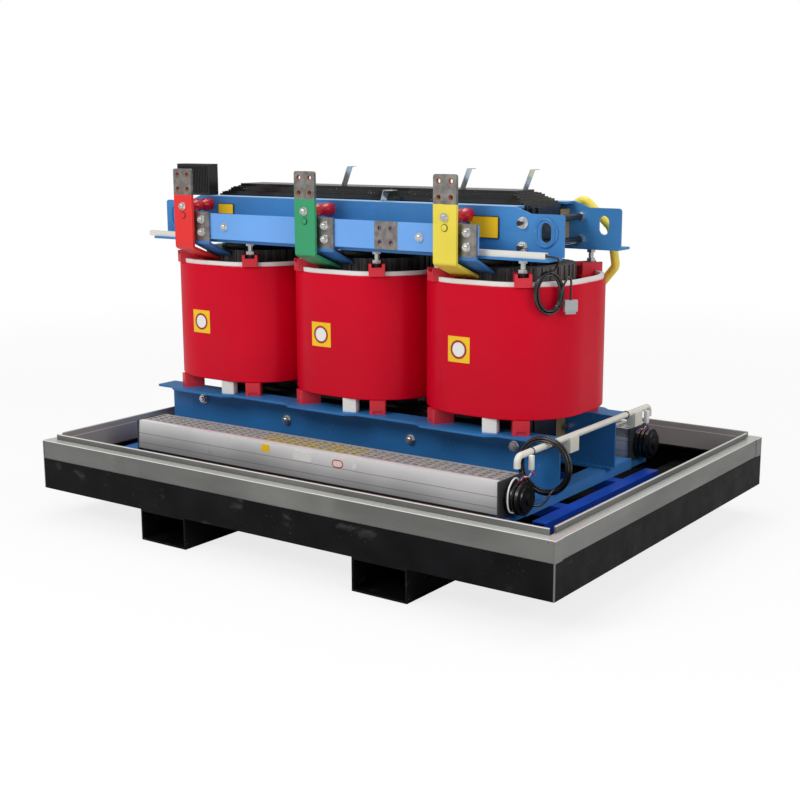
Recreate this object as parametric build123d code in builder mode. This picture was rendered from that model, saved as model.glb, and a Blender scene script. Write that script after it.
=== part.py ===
"""Three phase cast resin dry type transformer on a fork lift skid, with two cross flow cooling fans.

Millimetres.  The origin is on the ground under the centre of the skid, +X runs along the long side
towards the fan motors, +Y towards the high voltage side, +Z up.
"""
from build123d import *
import os
from math import cos, hypot, pi, radians, sin, tan

os.makedirs("parts", exist_ok=True)

# ------------------------------------------------------------------ driving dimensions
# Skid
SKID_LENGTH = 2000.0
SKID_WIDTH = 1446.0
CHANNEL_HEIGHT = 104.0
CHANNEL_FLANGE = 48.0
CHANNEL_WALL = 6.0
POCKET_HEIGHT = 103.0
POCKET_WIDTH = 196.0
POCKET_WALL = 6.0
POCKET_SPACING = 864.0
MEMBER_HEIGHT = 46.0
MEMBER_WIDTH = 60.0
MEMBER_WALL = 5.0
# Stainless rim
RIM_HEIGHT = 63.0
RIM_LEDGE = 35.0
RIM_WALL = 2.5
UPSTAND_HEIGHT = 20.0
UPSTAND_WIDTH = 5.0
CAP_WALL = 2.0
CAP_REACH = 42.0
UPSTAND_GAP = 22.0
# Transformer place and active part
CENTRE_X = -95.0
PHASE_PITCH = 538.0
LEG_WIDTH = 220.0
YOKE_HEIGHT = 212.0
LOWER_YOKE_BOTTOM = 214.0
WINDOW_HEIGHT = 486.0
CORE_HALF_DEPTH = 120.0
LV_INNER_RADIUS = 136.0
LV_OUTER_RADIUS = 188.0
LV_END_GAP = 12.0
HV_INNER_RADIUS = 206.0
HV_WIDTH = 528.0
HV_DEPTH = 524.0
HV_CORNER = 215.0
HV_HEIGHT = 403.0
PANEL_WIDTH = 150.0
PANEL_DEPTH = 18.0
PANEL_SHARE = 0.78
FOOT_HEIGHT = 45.0
DUCT_COUNT = 40
DUCT_DEPTH = 4.0
DUCT_WIDTH = 12.0
# Subframe that carries the clamps and fans
RAIL_WIDTH = 46.0
RAIL_HEIGHT = 38.0
RAIL_WALL = 4.0
END_BEAM_OFFSET = 850.0
END_BEAM_LENGTH = 756.0
BASE_CHANNEL_OFFSET = 760.0
BASE_CHANNEL_WIDTH = 60.0
BASE_CHANNEL_HEIGHT = 35.0
BASE_CHANNEL_LENGTH = 690.0
BASE_CHANNEL_WALL = 5.0
COMB_PITCH = 12.6
COMB_WIDTH = 26.0
# Clamps
CLAMP_HALF_LENGTH = 808.0
CLAMP_FACE = 187.0
CLAMP_WALL = 8.0
LOWER_CLAMP_HEIGHT = 176.0
CLAMP_FLANGE = 75.0
FOOT_FLANGE = 98.0
INNER_FLANGE = 24.0
UPPER_LUG_HEIGHT = 124.0
UPPER_WEB_RISE = 20.0
UPPER_WEB_HALF = 640.0
TOP_FLANGE = 58.0
JACK_GAP = 81.0
LUG_HOLE_RADIUS = 19.0
LUG_HOLE_OFFSET = 748.0
LUG_HOLE_SLOT = 22.0
# Coil supports
SUPPORT_ANGLE = 55.0
SUPPORT_RADIUS = 262.0
SUPPORT_REACH = 290.0
SUPPORT_INNER = 219.0
SUPPORT_WIDTH = 52.0
TOP_BLOCK_HEIGHT = 40.0
PAD_RADIUS = 15.0
PAD_HEIGHT = 12.0
JACK_RADIUS = 8.0
JACK_NUT_RADIUS = 15.0
NUT_HEIGHT = 11.0
RING_INSET = 6.0
RING_WALL = 12.0
RING_HEIGHT = 14.0
# Low voltage side
BAR_FACE = 318.0
BAR_THICKNESS = 10.0
BAR_WIDTH = 83.0
BAR_OFFSET = -60.0
BAR_TOP = 1181.0
BAR_BEND = 912.0
BAR_LANDING_Y = 191.4
LEAD_LANDING_Y = 192.8
BAR_LANDING_Z = 863.0
PAD_HOLE_RADIUS = 7.0
PAD_HOLE_DX = 44.0
PAD_HOLE_DZ = 48.0
NEUTRAL_THICKNESS = 8.0
NEUTRAL_HEIGHT = 86.0
NEUTRAL_BOTTOM = 946.0
NEUTRAL_PAD_X = 142.0
NEUTRAL_HOLE_D = 43.0
LEAD_WIDTH = 76.0
LEAD_OFFSET = 0.0
LEAD_TOP = 1036.0
LEAD_BOTTOM = 928.0
LEAD_OVER_BAR = 18.0
INSULATOR_RADIUS = 22.0
INSULATOR_Z = 1055.0
# Ties and trim
TIE_OFFSET = 670.0
TIE_RADIUS = 8.0
TIE_SLEEVE = 11.0
TIE_NUT_RADIUS = 15.0
TIE_Z = (965.0, 1038.0)
CLAMP_BOLT_Z = (356.0, 326.0)
CLAMP_BOLT_OFFSET = (652.0, 262.0)
DUCT_Y = 247.0
DUCT_SIDE = 18.0
DUCT_RUN = (-924.0, 690.0)
# Fans
FAN_LENGTH = 1457.0
FAN_LEFT = -778.0
FAN_FRONT = 480.0
FAN_DEPTH = 125.0
FAN_BOTTOM = 216.0
FAN_HEIGHT = 107.0
FAN_WALL = 2.0
FAN_END_WALL = 6.0
IMPELLER_RADIUS = 44.0
IMPELLER_GAP = 8.0
BLADE_COUNT = 24
SHAFT_RADIUS = 5.0
RUNNING_FIT = 0.05
MOTOR_RADIUS = 50.0
MOTOR_LENGTH = 56.0
# Conduit and cables
CONDUIT_Z = 400.0
CONDUIT_RADIUS = 10.0
CONDUIT_FRONT = -452.0
CONDUIT_REAR = 405.0

# ------------------------------------------------------------------ levels worked out from them
frame_bottom = POCKET_HEIGHT
frame_top = frame_bottom + CHANNEL_HEIGHT
rim_top = frame_top + RIM_HEIGHT
member_top = frame_bottom + CHANNEL_WALL + MEMBER_HEIGHT
rail_top = member_top + RAIL_HEIGHT
clamp_bottom = rail_top + BASE_CHANNEL_HEIGHT
lower_flange_top = clamp_bottom + LOWER_CLAMP_HEIGHT
coil_bottom = lower_flange_top + FOOT_HEIGHT
coil_top = coil_bottom + HV_HEIGHT
upper_flange_bottom = coil_top + JACK_GAP
upper_web_bottom = upper_flange_bottom + CLAMP_WALL
lug_top = upper_web_bottom + UPPER_LUG_HEIGHT
upper_web_top = lug_top + UPPER_WEB_RISE
yoke_half = PHASE_PITCH + LEG_WIDTH / 2
lower_yoke_top = LOWER_YOKE_BOTTOM + YOKE_HEIGHT
upper_yoke_bottom = lower_yoke_top + WINDOW_HEIGHT
upper_yoke_top = upper_yoke_bottom + YOKE_HEIGHT
lv_bottom = lower_yoke_top + LV_END_GAP
lv_top = upper_yoke_bottom - LV_END_GAP
phase_x = [CENTRE_X - PHASE_PITCH, CENTRE_X, CENTRE_X + PHASE_PITCH]
PHASES = ("a", "b", "c")
fan_axis_y = FAN_FRONT - FAN_DEPTH / 2
fan_axis_z = FAN_BOTTOM + FAN_HEIGHT / 2
fan_right = FAN_LEFT + FAN_LENGTH
conduit_x = CENTRE_X + CLAMP_HALF_LENGTH + CONDUIT_RADIUS
# (width, half depth) of the packets of the stepped core
CORE_PACKETS = (
    (LEG_WIDTH, CORE_HALF_DEPTH * 0.50),
    (LEG_WIDTH * 0.90, CORE_HALF_DEPTH * 0.72),
    (LEG_WIDTH * 0.74, CORE_HALF_DEPTH * 0.88),
    (LEG_WIDTH * 0.52, CORE_HALF_DEPTH),
)


def save(piece, label):
    """Name a finished piece and write it as the node of that name."""
    piece.part.label = label
    export_step(piece.part, f"parts/{label}.step")


# ------------------------------------------------------------------ skid
def mitred_channel(length):
    """A C channel along X whose web faces -Y, cut at 45 degrees at both ends."""
    with BuildPart() as rail:
        with BuildSketch(Plane.YZ):
            with Locations((CHANNEL_FLANGE / 2, CHANNEL_HEIGHT / 2)):
                Rectangle(CHANNEL_FLANGE, CHANNEL_HEIGHT)
            with Locations((CHANNEL_WALL + CHANNEL_FLANGE / 2, CHANNEL_HEIGHT / 2)):
                Rectangle(CHANNEL_FLANGE, CHANNEL_HEIGHT - 2 * CHANNEL_WALL, mode=Mode.SUBTRACT)
        extrude(amount=length / 2, both=True)
        split(bisect_by=Plane(origin=(length / 2, 0, 0), z_dir=(1, 1, 0)), keep=Keep.BOTTOM)
        split(bisect_by=Plane(origin=(-length / 2, 0, 0), z_dir=(-1, 1, 0)), keep=Keep.BOTTOM)
    return rail.part


long_channel = mitred_channel(SKID_LENGTH)
end_channel = mitred_channel(SKID_WIDTH)

with BuildPart() as skid_long_channels:
    with Locations(
        Location((0, -SKID_WIDTH / 2, frame_bottom)),
        Location((0, SKID_WIDTH / 2, frame_bottom), (0, 0, 180)),
    ):
        add(long_channel)
save(skid_long_channels, "skid_long_channels")

with BuildPart() as skid_end_channels:
    with Locations(
        Location((SKID_LENGTH / 2, 0, frame_bottom), (0, 0, 90)),
        Location((-SKID_LENGTH / 2, 0, frame_bottom), (0, 0, -90)),
    ):
        add(end_channel)
save(skid_end_channels, "skid_end_channels")


def cross_tube(width, height, wall, length):
    """A rectangular tube along Y, centred on X and Y, standing on Z = 0."""
    with BuildPart() as tube:
        with BuildSketch(Plane.XZ):
            with Locations((0, height / 2)):
                Rectangle(width, height)
                Rectangle(width - 2 * wall, height - 2 * wall, mode=Mode.SUBTRACT)
        extrude(amount=length / 2, both=True)
    return tube.part


member_spread = END_BEAM_OFFSET - RAIL_WIDTH / 2
with BuildPart() as skid_cross_members:
    member_x = (CENTRE_X - member_spread, CENTRE_X, CENTRE_X + member_spread)
    with Locations([(x, 0, frame_bottom + CHANNEL_WALL) for x in member_x]):
        add(cross_tube(MEMBER_WIDTH, MEMBER_HEIGHT, MEMBER_WALL, SKID_WIDTH - 2 * CHANNEL_WALL))
save(skid_cross_members, "skid_cross_members")

with BuildPart() as fork_pockets:
    with Locations([(side * POCKET_SPACING / 2, 0, 0) for side in (-1, 1)]):
        add(cross_tube(POCKET_WIDTH, POCKET_HEIGHT, POCKET_WALL, SKID_WIDTH))
save(fork_pockets, "fork_pockets")


# ------------------------------------------------------------------ stainless rim
def rim_rail(length, upstand_length):
    """A folded sheet rail along X: hollow box section with a flat upstand on its inner edge."""
    with BuildPart() as rail:
        with BuildSketch(Plane.YZ):
            with Locations((RIM_LEDGE / 2, RIM_HEIGHT / 2)):
                Rectangle(RIM_LEDGE, RIM_HEIGHT)
                Rectangle(RIM_LEDGE - 2 * RIM_WALL, RIM_HEIGHT - 2 * RIM_WALL, mode=Mode.SUBTRACT)
        extrude(amount=length / 2, both=True)
        with Locations((0, RIM_LEDGE - UPSTAND_WIDTH / 2, RIM_HEIGHT + UPSTAND_HEIGHT / 2)):
            Box(upstand_length, UPSTAND_WIDTH, UPSTAND_HEIGHT)
    return rail.part


rim_outer_x = SKID_LENGTH / 2 - CAP_WALL
rim_outer_y = SKID_WIDTH / 2 - CAP_WALL
long_upstand = 2 * (rim_outer_x - RIM_LEDGE)
end_rim_length = 2 * (rim_outer_y - RIM_LEDGE)
long_rim = rim_rail(2 * rim_outer_x, long_upstand)
end_rim = rim_rail(end_rim_length, end_rim_length - 2 * UPSTAND_GAP)

with BuildPart() as rim_long_rails:
    with Locations(
        Location((0, -rim_outer_y, frame_top)),
        Location((0, rim_outer_y, frame_top), (0, 0, 180)),
    ):
        add(long_rim)
save(rim_long_rails, "rim_long_rails")

with BuildPart() as rim_end_rails:
    with Locations(
        Location((rim_outer_x, 0, frame_top), (0, 0, 90)),
        Location((-rim_outer_x, 0, frame_top), (0, 0, -90)),
    ):
        add(end_rim)
save(rim_end_rails, "rim_end_rails")

# Folded corner caps close the open tube ends and lap over the end rails.
with BuildPart() as rim_corner_caps:
    cap_x = SKID_LENGTH / 2 - CAP_WALL / 2
    cap_y = SKID_WIDTH / 2 - CAP_REACH / 2
    cap_z = frame_top + RIM_HEIGHT / 2
    with Locations([(sx * cap_x, sy * cap_y, cap_z) for sx in (-1, 1) for sy in (-1, 1)]):
        Box(CAP_WALL, CAP_REACH, RIM_HEIGHT)
save(rim_corner_caps, "rim_corner_caps")

# ------------------------------------------------------------------ subframe, base channels, rubber
rail_y = CLAMP_FACE - CLAMP_WALL / 2
rail_run = 2 * END_BEAM_OFFSET - RAIL_WIDTH

with BuildPart() as subframe_rails:
    with Locations([Location((CENTRE_X, y, member_top), (0, 0, 90)) for y in (-rail_y, rail_y)]):
        add(cross_tube(RAIL_WIDTH, RAIL_HEIGHT, RAIL_WALL, rail_run))
save(subframe_rails, "subframe_rails")

with BuildPart() as subframe_end_beams:
    with Locations([(CENTRE_X + side * END_BEAM_OFFSET, 0, member_top) for side in (-1, 1)]):
        add(cross_tube(RAIL_WIDTH, RAIL_HEIGHT, RAIL_WALL, END_BEAM_LENGTH))
save(subframe_end_beams, "subframe_end_beams")

with BuildPart() as base_channels:
    with BuildSketch(Plane.XZ):
        for side in (-1, 1):
            base_x = CENTRE_X + side * BASE_CHANNEL_OFFSET
            with Locations((base_x, rail_top + BASE_CHANNEL_HEIGHT / 2)):
                Rectangle(BASE_CHANNEL_WIDTH, BASE_CHANNEL_HEIGHT)
            with Locations((base_x, rail_top + BASE_CHANNEL_HEIGHT / 2 - BASE_CHANNEL_WALL)):
                Rectangle(BASE_CHANNEL_WIDTH - 2 * BASE_CHANNEL_WALL, BASE_CHANNEL_HEIGHT, mode=Mode.SUBTRACT)
    extrude(amount=BASE_CHANNEL_LENGTH / 2, both=True)
save(base_channels, "base_channels")


def comb_outline(length):
    """Outline points of a toothed strip: solid along the bottom, gaps cut from the top."""
    points = [(-length / 2, 0)]
    teeth = int(length / COMB_PITCH)
    start = -teeth * COMB_PITCH / 2
    top = BASE_CHANNEL_HEIGHT
    root = BASE_CHANNEL_HEIGHT * 0.45
    points.append((-length / 2, top))
    for tooth in range(teeth):
        x = start + tooth * COMB_PITCH
        points += [(x + 4, top), (x + 4, root), (x + 9, root), (x + 9, top)]
    points += [(length / 2, top), (length / 2, 0)]
    return points


comb_run = 2 * BASE_CHANNEL_OFFSET - BASE_CHANNEL_WIDTH
with BuildPart() as comb_strip:
    with BuildSketch(Plane.XZ):
        with BuildLine():
            Polyline(comb_outline(comb_run), close=True)
        make_face()
    extrude(amount=COMB_WIDTH / 2, both=True)

# The combs lie under the clamps; ribbed mats lie on the end cross members between the rails.
mat_height = RAIL_HEIGHT * 0.6
mat_length = 2 * (rail_y - RAIL_WIDTH / 2) - 4
mat_width = MEMBER_WIDTH / 2 - 4
with BuildPart() as rubber_strips:
    with Locations([(CENTRE_X, side * rail_y, rail_top) for side in (-1, 1)]):
        add(comb_strip.part)
    for side in (-1, 1):
        mat_x = CENTRE_X + side * (member_spread - 2 - mat_width / 2)
        with Locations((mat_x, 0, member_top + mat_height / 2)):
            Box(mat_width, mat_length, mat_height)
        with Locations((mat_x, 0, member_top + mat_height)):
            with GridLocations(mat_width / 4, 1, 4, 1):
                Box(3, mat_length, 6, mode=Mode.SUBTRACT)
save(rubber_strips, "rubber_strips")


# ------------------------------------------------------------------ clamps
def flange_outline(wide):
    """Outer edge of the lower flange: it is wider under each coil support and narrow at the U foot."""
    left, right = CENTRE_X - CLAMP_HALF_LENGTH, CENTRE_X + CLAMP_HALF_LENGTH
    points = [(left, 0), (left, CLAMP_FLANGE)]
    for x in phase_x:
        points += [
            (x - wide, CLAMP_FLANGE),
            (x - wide + 30, FOOT_FLANGE),
            (x + 60, FOOT_FLANGE),
            (x + 95, CLAMP_FLANGE),
        ]
    points += [(right, CLAMP_FLANGE), (right, 0)]
    return points


def lower_clamp():
    """Front lower clamp: tall web, wide outer top flange and a narrow inner bottom flange."""
    web_y = -CLAMP_FACE + CLAMP_WALL / 2
    with BuildPart() as clamp:
        with Locations((CENTRE_X, web_y, clamp_bottom + LOWER_CLAMP_HEIGHT / 2)):
            Box(2 * CLAMP_HALF_LENGTH, CLAMP_WALL, LOWER_CLAMP_HEIGHT)
        inner_y = -CLAMP_FACE + (CLAMP_WALL + INNER_FLANGE) / 2
        with Locations((CENTRE_X, inner_y, clamp_bottom + CLAMP_WALL / 2)):
            Box(2 * CLAMP_HALF_LENGTH, CLAMP_WALL + INNER_FLANGE, CLAMP_WALL)
        outer = Plane(origin=(0, -CLAMP_FACE, lower_flange_top), x_dir=(1, 0, 0), z_dir=(0, 0, -1))
        with BuildSketch(outer):
            with BuildLine():
                Polyline(flange_outline(205), close=True)
            make_face()
        extrude(amount=CLAMP_WALL)
        for bolt_z, offset in zip(CLAMP_BOLT_Z, CLAMP_BOLT_OFFSET):
            web_plane = Plane(origin=(CENTRE_X, web_y, bolt_z), x_dir=(1, 0, 0), z_dir=(0, -1, 0))
            with Locations(web_plane):
                with GridLocations(2 * offset, 1, 2, 1):
                    Hole(TIE_RADIUS + 1, depth=2 * CLAMP_WALL)
    return clamp.part


def upper_web_outline():
    """Half outline of the upper clamp's web: full height in the middle, sloping down to the lug."""
    slope = UPPER_WEB_HALF + 55
    return [
        (0, upper_web_bottom),
        (CLAMP_HALF_LENGTH, upper_web_bottom),
        (CLAMP_HALF_LENGTH, lug_top),
        (slope, lug_top),
        (UPPER_WEB_HALF, upper_web_top),
        (0, upper_web_top),
    ]


def upper_clamp():
    """Front upper clamp: web with lifting lugs at both ends, top and bottom flanges, bolt holes."""
    web_plane = Plane(origin=(CENTRE_X, -CLAMP_FACE, 0), x_dir=(1, 0, 0), z_dir=(0, -1, 0))
    hole_z = (upper_web_bottom + lug_top) / 2 + 8
    with BuildPart() as clamp:
        with BuildSketch(web_plane) as web:
            with BuildLine():
                Polyline(upper_web_outline(), close=True)
            make_face()
            mirror(about=Plane.YZ)
        extrude(amount=-CLAMP_WALL)
        corners = clamp.edges().filter_by(Axis.Y).filter_by(
            lambda e: abs(abs(e.center().X - CENTRE_X) - CLAMP_HALF_LENGTH) < 1 and e.center().Z > lug_top - 1
        )
        fillet(corners, radius=10)
        top_y = -CLAMP_FACE + TOP_FLANGE / 2
        with Locations((CENTRE_X, top_y, upper_web_top - CLAMP_WALL / 2)):
            Box(2 * UPPER_WEB_HALF, TOP_FLANGE, CLAMP_WALL)
        low_y = -CLAMP_FACE + (CLAMP_WALL - CLAMP_FLANGE) / 2
        with Locations((CENTRE_X, low_y, upper_flange_bottom + CLAMP_WALL / 2)):
            Box(2 * CLAMP_HALF_LENGTH - 16, CLAMP_FLANGE + CLAMP_WALL, CLAMP_WALL)
        # raised rings around the lifting holes
        ring_plane = Plane(origin=(CENTRE_X, -CLAMP_FACE, hole_z), x_dir=(1, 0, 0), z_dir=(0, -1, 0))
        with BuildSketch(ring_plane):
            with GridLocations(2 * LUG_HOLE_OFFSET, 1, 2, 1):
                Circle(LUG_HOLE_RADIUS + LUG_HOLE_SLOT / 2 + 12)
        extrude(amount=3)
        with BuildSketch(ring_plane.offset(10)):
            with GridLocations(2 * LUG_HOLE_OFFSET, 1, 2, 1):
                SlotCenterToCenter(LUG_HOLE_SLOT, 2 * LUG_HOLE_RADIUS, rotation=90)
        extrude(amount=-3 * CLAMP_WALL, mode=Mode.SUBTRACT)
        for tie_z in TIE_Z:
            with Locations(Plane(origin=(CENTRE_X, -CLAMP_FACE, tie_z), x_dir=(1, 0, 0), z_dir=(0, -1, 0))):
                with GridLocations(2 * TIE_OFFSET, 1, 2, 1):
                    Hole(TIE_RADIUS + 1, depth=2 * CLAMP_WALL)
        # holes for the jack bolts in the bottom flange
        with Locations([(x, y, upper_flange_bottom) for x, y in jack_places(-1)]):
            Cylinder(JACK_RADIUS + 1, 4 * CLAMP_WALL, mode=Mode.SUBTRACT)
    return clamp.part


def jack_places(side):
    """Places of the jack bolts on one side of the clamps, -1 front and 1 rear."""
    dx = SUPPORT_RADIUS * cos(radians(SUPPORT_ANGLE))
    dy = SUPPORT_RADIUS * sin(radians(SUPPORT_ANGLE))
    return [(x + sign * dx, side * dy) for x in phase_x for sign in (-1, 1)]


def both_sides(piece, front_name, rear_name):
    """Write a front piece and the same piece turned half round about the transformer's axis."""
    with BuildPart() as front:
        add(piece)
    save(front, front_name)
    with BuildPart() as rear:
        with Locations(Location((2 * CENTRE_X, 0, 0), (0, 0, 180))):
            add(piece)
    save(rear, rear_name)


both_sides(lower_clamp(), "lower_clamp_front", "lower_clamp_rear")
both_sides(upper_clamp(), "upper_clamp_front", "upper_clamp_rear")

# Insulating boards between the clamps' webs and the core.
board_depth = CLAMP_FACE - CLAMP_WALL - CORE_HALF_DEPTH
board_height = YOKE_HEIGHT * 0.5
with BuildPart() as clamp_boards:
    for z in (LOWER_YOKE_BOTTOM + YOKE_HEIGHT * 0.55, upper_yoke_bottom + YOKE_HEIGHT * 0.45):
        with Locations((CENTRE_X, 0, z)):
            with GridLocations(PHASE_PITCH, 2 * CORE_HALF_DEPTH + board_depth, 3, 2):
                Box(LEG_WIDTH * 0.8, board_depth, board_height)
save(clamp_boards, "clamp_boards")


# ------------------------------------------------------------------ core
def yoke(bottom):
    """One stepped yoke: packets of sheet steel of falling height, the ends cut back in steps."""
    with BuildPart() as bar:
        for width, half_depth in CORE_PACKETS:
            height = YOKE_HEIGHT - (LEG_WIDTH - width) * 0.9
            with BuildSketch(Plane.XZ):
                with Locations((CENTRE_X, bottom + YOKE_HEIGHT / 2)):
                    Rectangle(2 * yoke_half - (LEG_WIDTH - width) * 0.5, height)
            extrude(amount=half_depth, both=True)
    return bar.part


with BuildPart() as core:
    add(yoke(LOWER_YOKE_BOTTOM))
    for x in phase_x:
        with BuildSketch(Plane.XY.offset(lower_yoke_top - 20)):
            for width, half_depth in CORE_PACKETS:
                with Locations((x, 0)):
                    Rectangle(width, 2 * half_depth)
        extrude(amount=WINDOW_HEIGHT + 20)
save(core, "core")

STEP_RISE = 7.0
STEP_RUN = 12.0
STEP_COUNT = 7
with BuildPart() as core_top_yoke:
    add(yoke(upper_yoke_bottom))
    # the step lapped corners at the outer ends
    for side in (-1, 1):
        for step in range(STEP_COUNT):
            cut = (STEP_COUNT - step) * STEP_RUN
            x = CENTRE_X + side * (yoke_half - cut / 2)
            z = upper_yoke_top - (step + 0.5) * STEP_RISE
            with Locations((x, 0, z)):
                Box(cut, 2 * CORE_HALF_DEPTH + 2, STEP_RISE, mode=Mode.SUBTRACT)
save(core_top_yoke, "core_top_yoke")

# ------------------------------------------------------------------ coils
for phase, x in zip(PHASES, phase_x):
    with BuildPart() as lv_coil:
        with BuildSketch(Plane.XY.offset(lv_bottom)):
            with Locations((x, 0)):
                Circle(LV_OUTER_RADIUS)
                with PolarLocations(LV_OUTER_RADIUS, DUCT_COUNT):
                    Rectangle(2 * DUCT_DEPTH, DUCT_WIDTH, mode=Mode.SUBTRACT)
                Circle(LV_INNER_RADIUS, mode=Mode.SUBTRACT)
        extrude(amount=lv_top - lv_bottom)
    save(lv_coil, f"lv_coil_{phase}")

    with BuildPart() as hv_coil:
        with BuildSketch(Plane.XY.offset(coil_bottom)):
            with Locations((x, 0)):
                RectangleRounded(HV_WIDTH, HV_DEPTH, HV_CORNER)
        extrude(amount=HV_HEIGHT)
        rims = hv_coil.faces().filter_by(Axis.Z).edges()
        fillet(rims, radius=4)
        # raised tapping and terminal panel cast on the high voltage side
        with Locations((x, HV_DEPTH / 2 + PANEL_DEPTH / 2 - 10, coil_bottom + HV_HEIGHT / 2)):
            Box(PANEL_WIDTH, PANEL_DEPTH + 20, HV_HEIGHT * PANEL_SHARE)
        with Locations((x, 0, coil_bottom + HV_HEIGHT / 2)):
            Cylinder(HV_INNER_RADIUS, 2 * HV_HEIGHT, mode=Mode.SUBTRACT)
    save(hv_coil, f"hv_coil_{phase}")

# ------------------------------------------------------------------ coil supports
SUPPORT_ANGLES = (SUPPORT_ANGLE, 180 - SUPPORT_ANGLE, 180 + SUPPORT_ANGLE, -SUPPORT_ANGLE)
support_places = [(x, angle) for x in phase_x for angle in SUPPORT_ANGLES]
support_mid = (SUPPORT_REACH + SUPPORT_INNER) / 2
support_run = SUPPORT_REACH - SUPPORT_INNER

with BuildPart() as coil_foot:
    with Locations((support_mid, 0, FOOT_HEIGHT / 2)):
        Box(support_run, SUPPORT_WIDTH, FOOT_HEIGHT)
    with Locations((SUPPORT_REACH, 0, 0)):
        Box(8, SUPPORT_WIDTH * 0.5, 2 * 12, mode=Mode.SUBTRACT)
    edges = coil_foot.edges().filter_by(Axis.Z).group_by(Axis.X)[-1]
    chamfer(edges, length=3)

with BuildPart() as coil_feet:
    with Locations([Location((x, 0, lower_flange_top), (0, 0, a)) for x, a in support_places]):
        add(coil_foot.part)
save(coil_feet, "coil_feet")

with BuildPart() as top_block:
    with BuildSketch(Plane.YZ.offset(SUPPORT_INNER)):
        with Locations((0, TOP_BLOCK_HEIGHT / 2)):
            Rectangle(SUPPORT_WIDTH, TOP_BLOCK_HEIGHT)
        with Locations((0, TOP_BLOCK_HEIGHT)):
            Rectangle(SUPPORT_WIDTH * 0.64, 24, mode=Mode.SUBTRACT)
    extrude(amount=support_run)

with BuildPart() as top_blocks:
    with Locations([Location((x, 0, coil_top), (0, 0, a)) for x, a in support_places]):
        add(top_block.part)
save(top_blocks, "top_blocks")

# White insulating blocks beside the front feet.
with BuildPart() as white_blocks:
    white_angle = 90 - 14
    with Locations(
        [
            Location((x, 0, lower_flange_top + FOOT_HEIGHT / 2), (0, 0, side * white_angle))
            for x in phase_x
            for side in (-1, 1)
        ]
    ):
        with Locations((SUPPORT_RADIUS - 14, 0, 0)):
            Box(30, 46, FOOT_HEIGHT)

with BuildPart() as coil_spacers:
    with BuildSketch(Plane.XY.offset(coil_top)):
        for x in phase_x:
            with Locations((x, 0)):
                ring = 2 * RING_INSET
                inner = ring + 2 * RING_WALL
                RectangleRounded(HV_WIDTH - ring, HV_DEPTH - ring, HV_CORNER - RING_INSET)
                RectangleRounded(
                    HV_WIDTH - inner, HV_DEPTH - inner, HV_CORNER - RING_INSET - RING_WALL, mode=Mode.SUBTRACT
                )
        for x, a in support_places:
            with Locations(Location((x, 0, 0), (0, 0, a))):
                with Locations((support_mid, 0)):
                    Rectangle(support_run + 10, SUPPORT_WIDTH + 1, mode=Mode.SUBTRACT)
    extrude(amount=RING_HEIGHT)
    add(white_blocks.part)
save(coil_spacers, "coil_spacers")

block_seat = coil_top + TOP_BLOCK_HEIGHT - 12
all_jacks = jack_places(-1) + jack_places(1)
with BuildPart() as rubber_pads:
    with Locations([(x, y, block_seat + PAD_HEIGHT / 2) for x, y in all_jacks]):
        Cylinder(PAD_RADIUS, PAD_HEIGHT)
save(rubber_pads, "rubber_pads")

with BuildPart() as jack_bolts:
    shank_top = upper_web_bottom + NUT_HEIGHT + 10
    shank_bottom = block_seat + PAD_HEIGHT
    for x, y in all_jacks:
        with Locations((x, y, (shank_top + shank_bottom) / 2)):
            Cylinder(JACK_RADIUS, shank_top - shank_bottom)
        nut_planes = (upper_web_bottom, upper_flange_bottom - NUT_HEIGHT, shank_bottom)
        for z in nut_planes:
            with BuildSketch(Plane.XY.offset(z)):
                with Locations((x, y)):
                    RegularPolygon(JACK_NUT_RADIUS, 6)
            extrude(amount=NUT_HEIGHT)
save(jack_bolts, "jack_bolts")


# ------------------------------------------------------------------ low voltage bars
def low_voltage_bar(x):
    """Flat bar: vertical blade with a four hole pad on top, bent back and down to the coil's lead."""
    route = [(-BAR_LANDING_Y, BAR_LANDING_Z), (-BAR_FACE, BAR_BEND), (-BAR_FACE, BAR_TOP)]
    with BuildPart() as bar:
        with BuildSketch(Plane.YZ.offset(x - BAR_WIDTH / 2)):
            with BuildLine():
                Polyline(strip_outline(route, BAR_THICKNESS), close=True)
            make_face()
        extrude(amount=BAR_WIDTH)
        bend = bar.edges().filter_by(Axis.X).filter_by(
            lambda e: e.center().Y < -BAR_FACE + BAR_THICKNESS + 2 and e.center().Z < BAR_BEND + 20
        )
        fillet(bend.sort_by(Axis.Y)[0], radius=14)
        top_corners = bar.edges().filter_by(Axis.Y).group_by(Axis.Z)[-1]
        fillet(top_corners, radius=8)
        face = Plane(origin=(x, -BAR_FACE, 0), x_dir=(1, 0, 0), z_dir=(0, -1, 0))
        pad_z = BAR_TOP - 44
        with Locations(face):
            with Locations((0, pad_z)):
                with GridLocations(PAD_HOLE_DX, PAD_HOLE_DZ, 2, 2):
                    Hole(PAD_HOLE_RADIUS, depth=2 * BAR_THICKNESS)
            with Locations((0, INSULATOR_Z)):
                Hole(JACK_RADIUS - 1, depth=2 * BAR_THICKNESS)
        with BuildSketch(face.offset(1)):
            with Locations((0, INSULATOR_Z - 32)):
                SlotCenterToCenter(10, 13, rotation=90)
        extrude(amount=-2 * BAR_THICKNESS, mode=Mode.SUBTRACT)
    return bar


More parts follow.
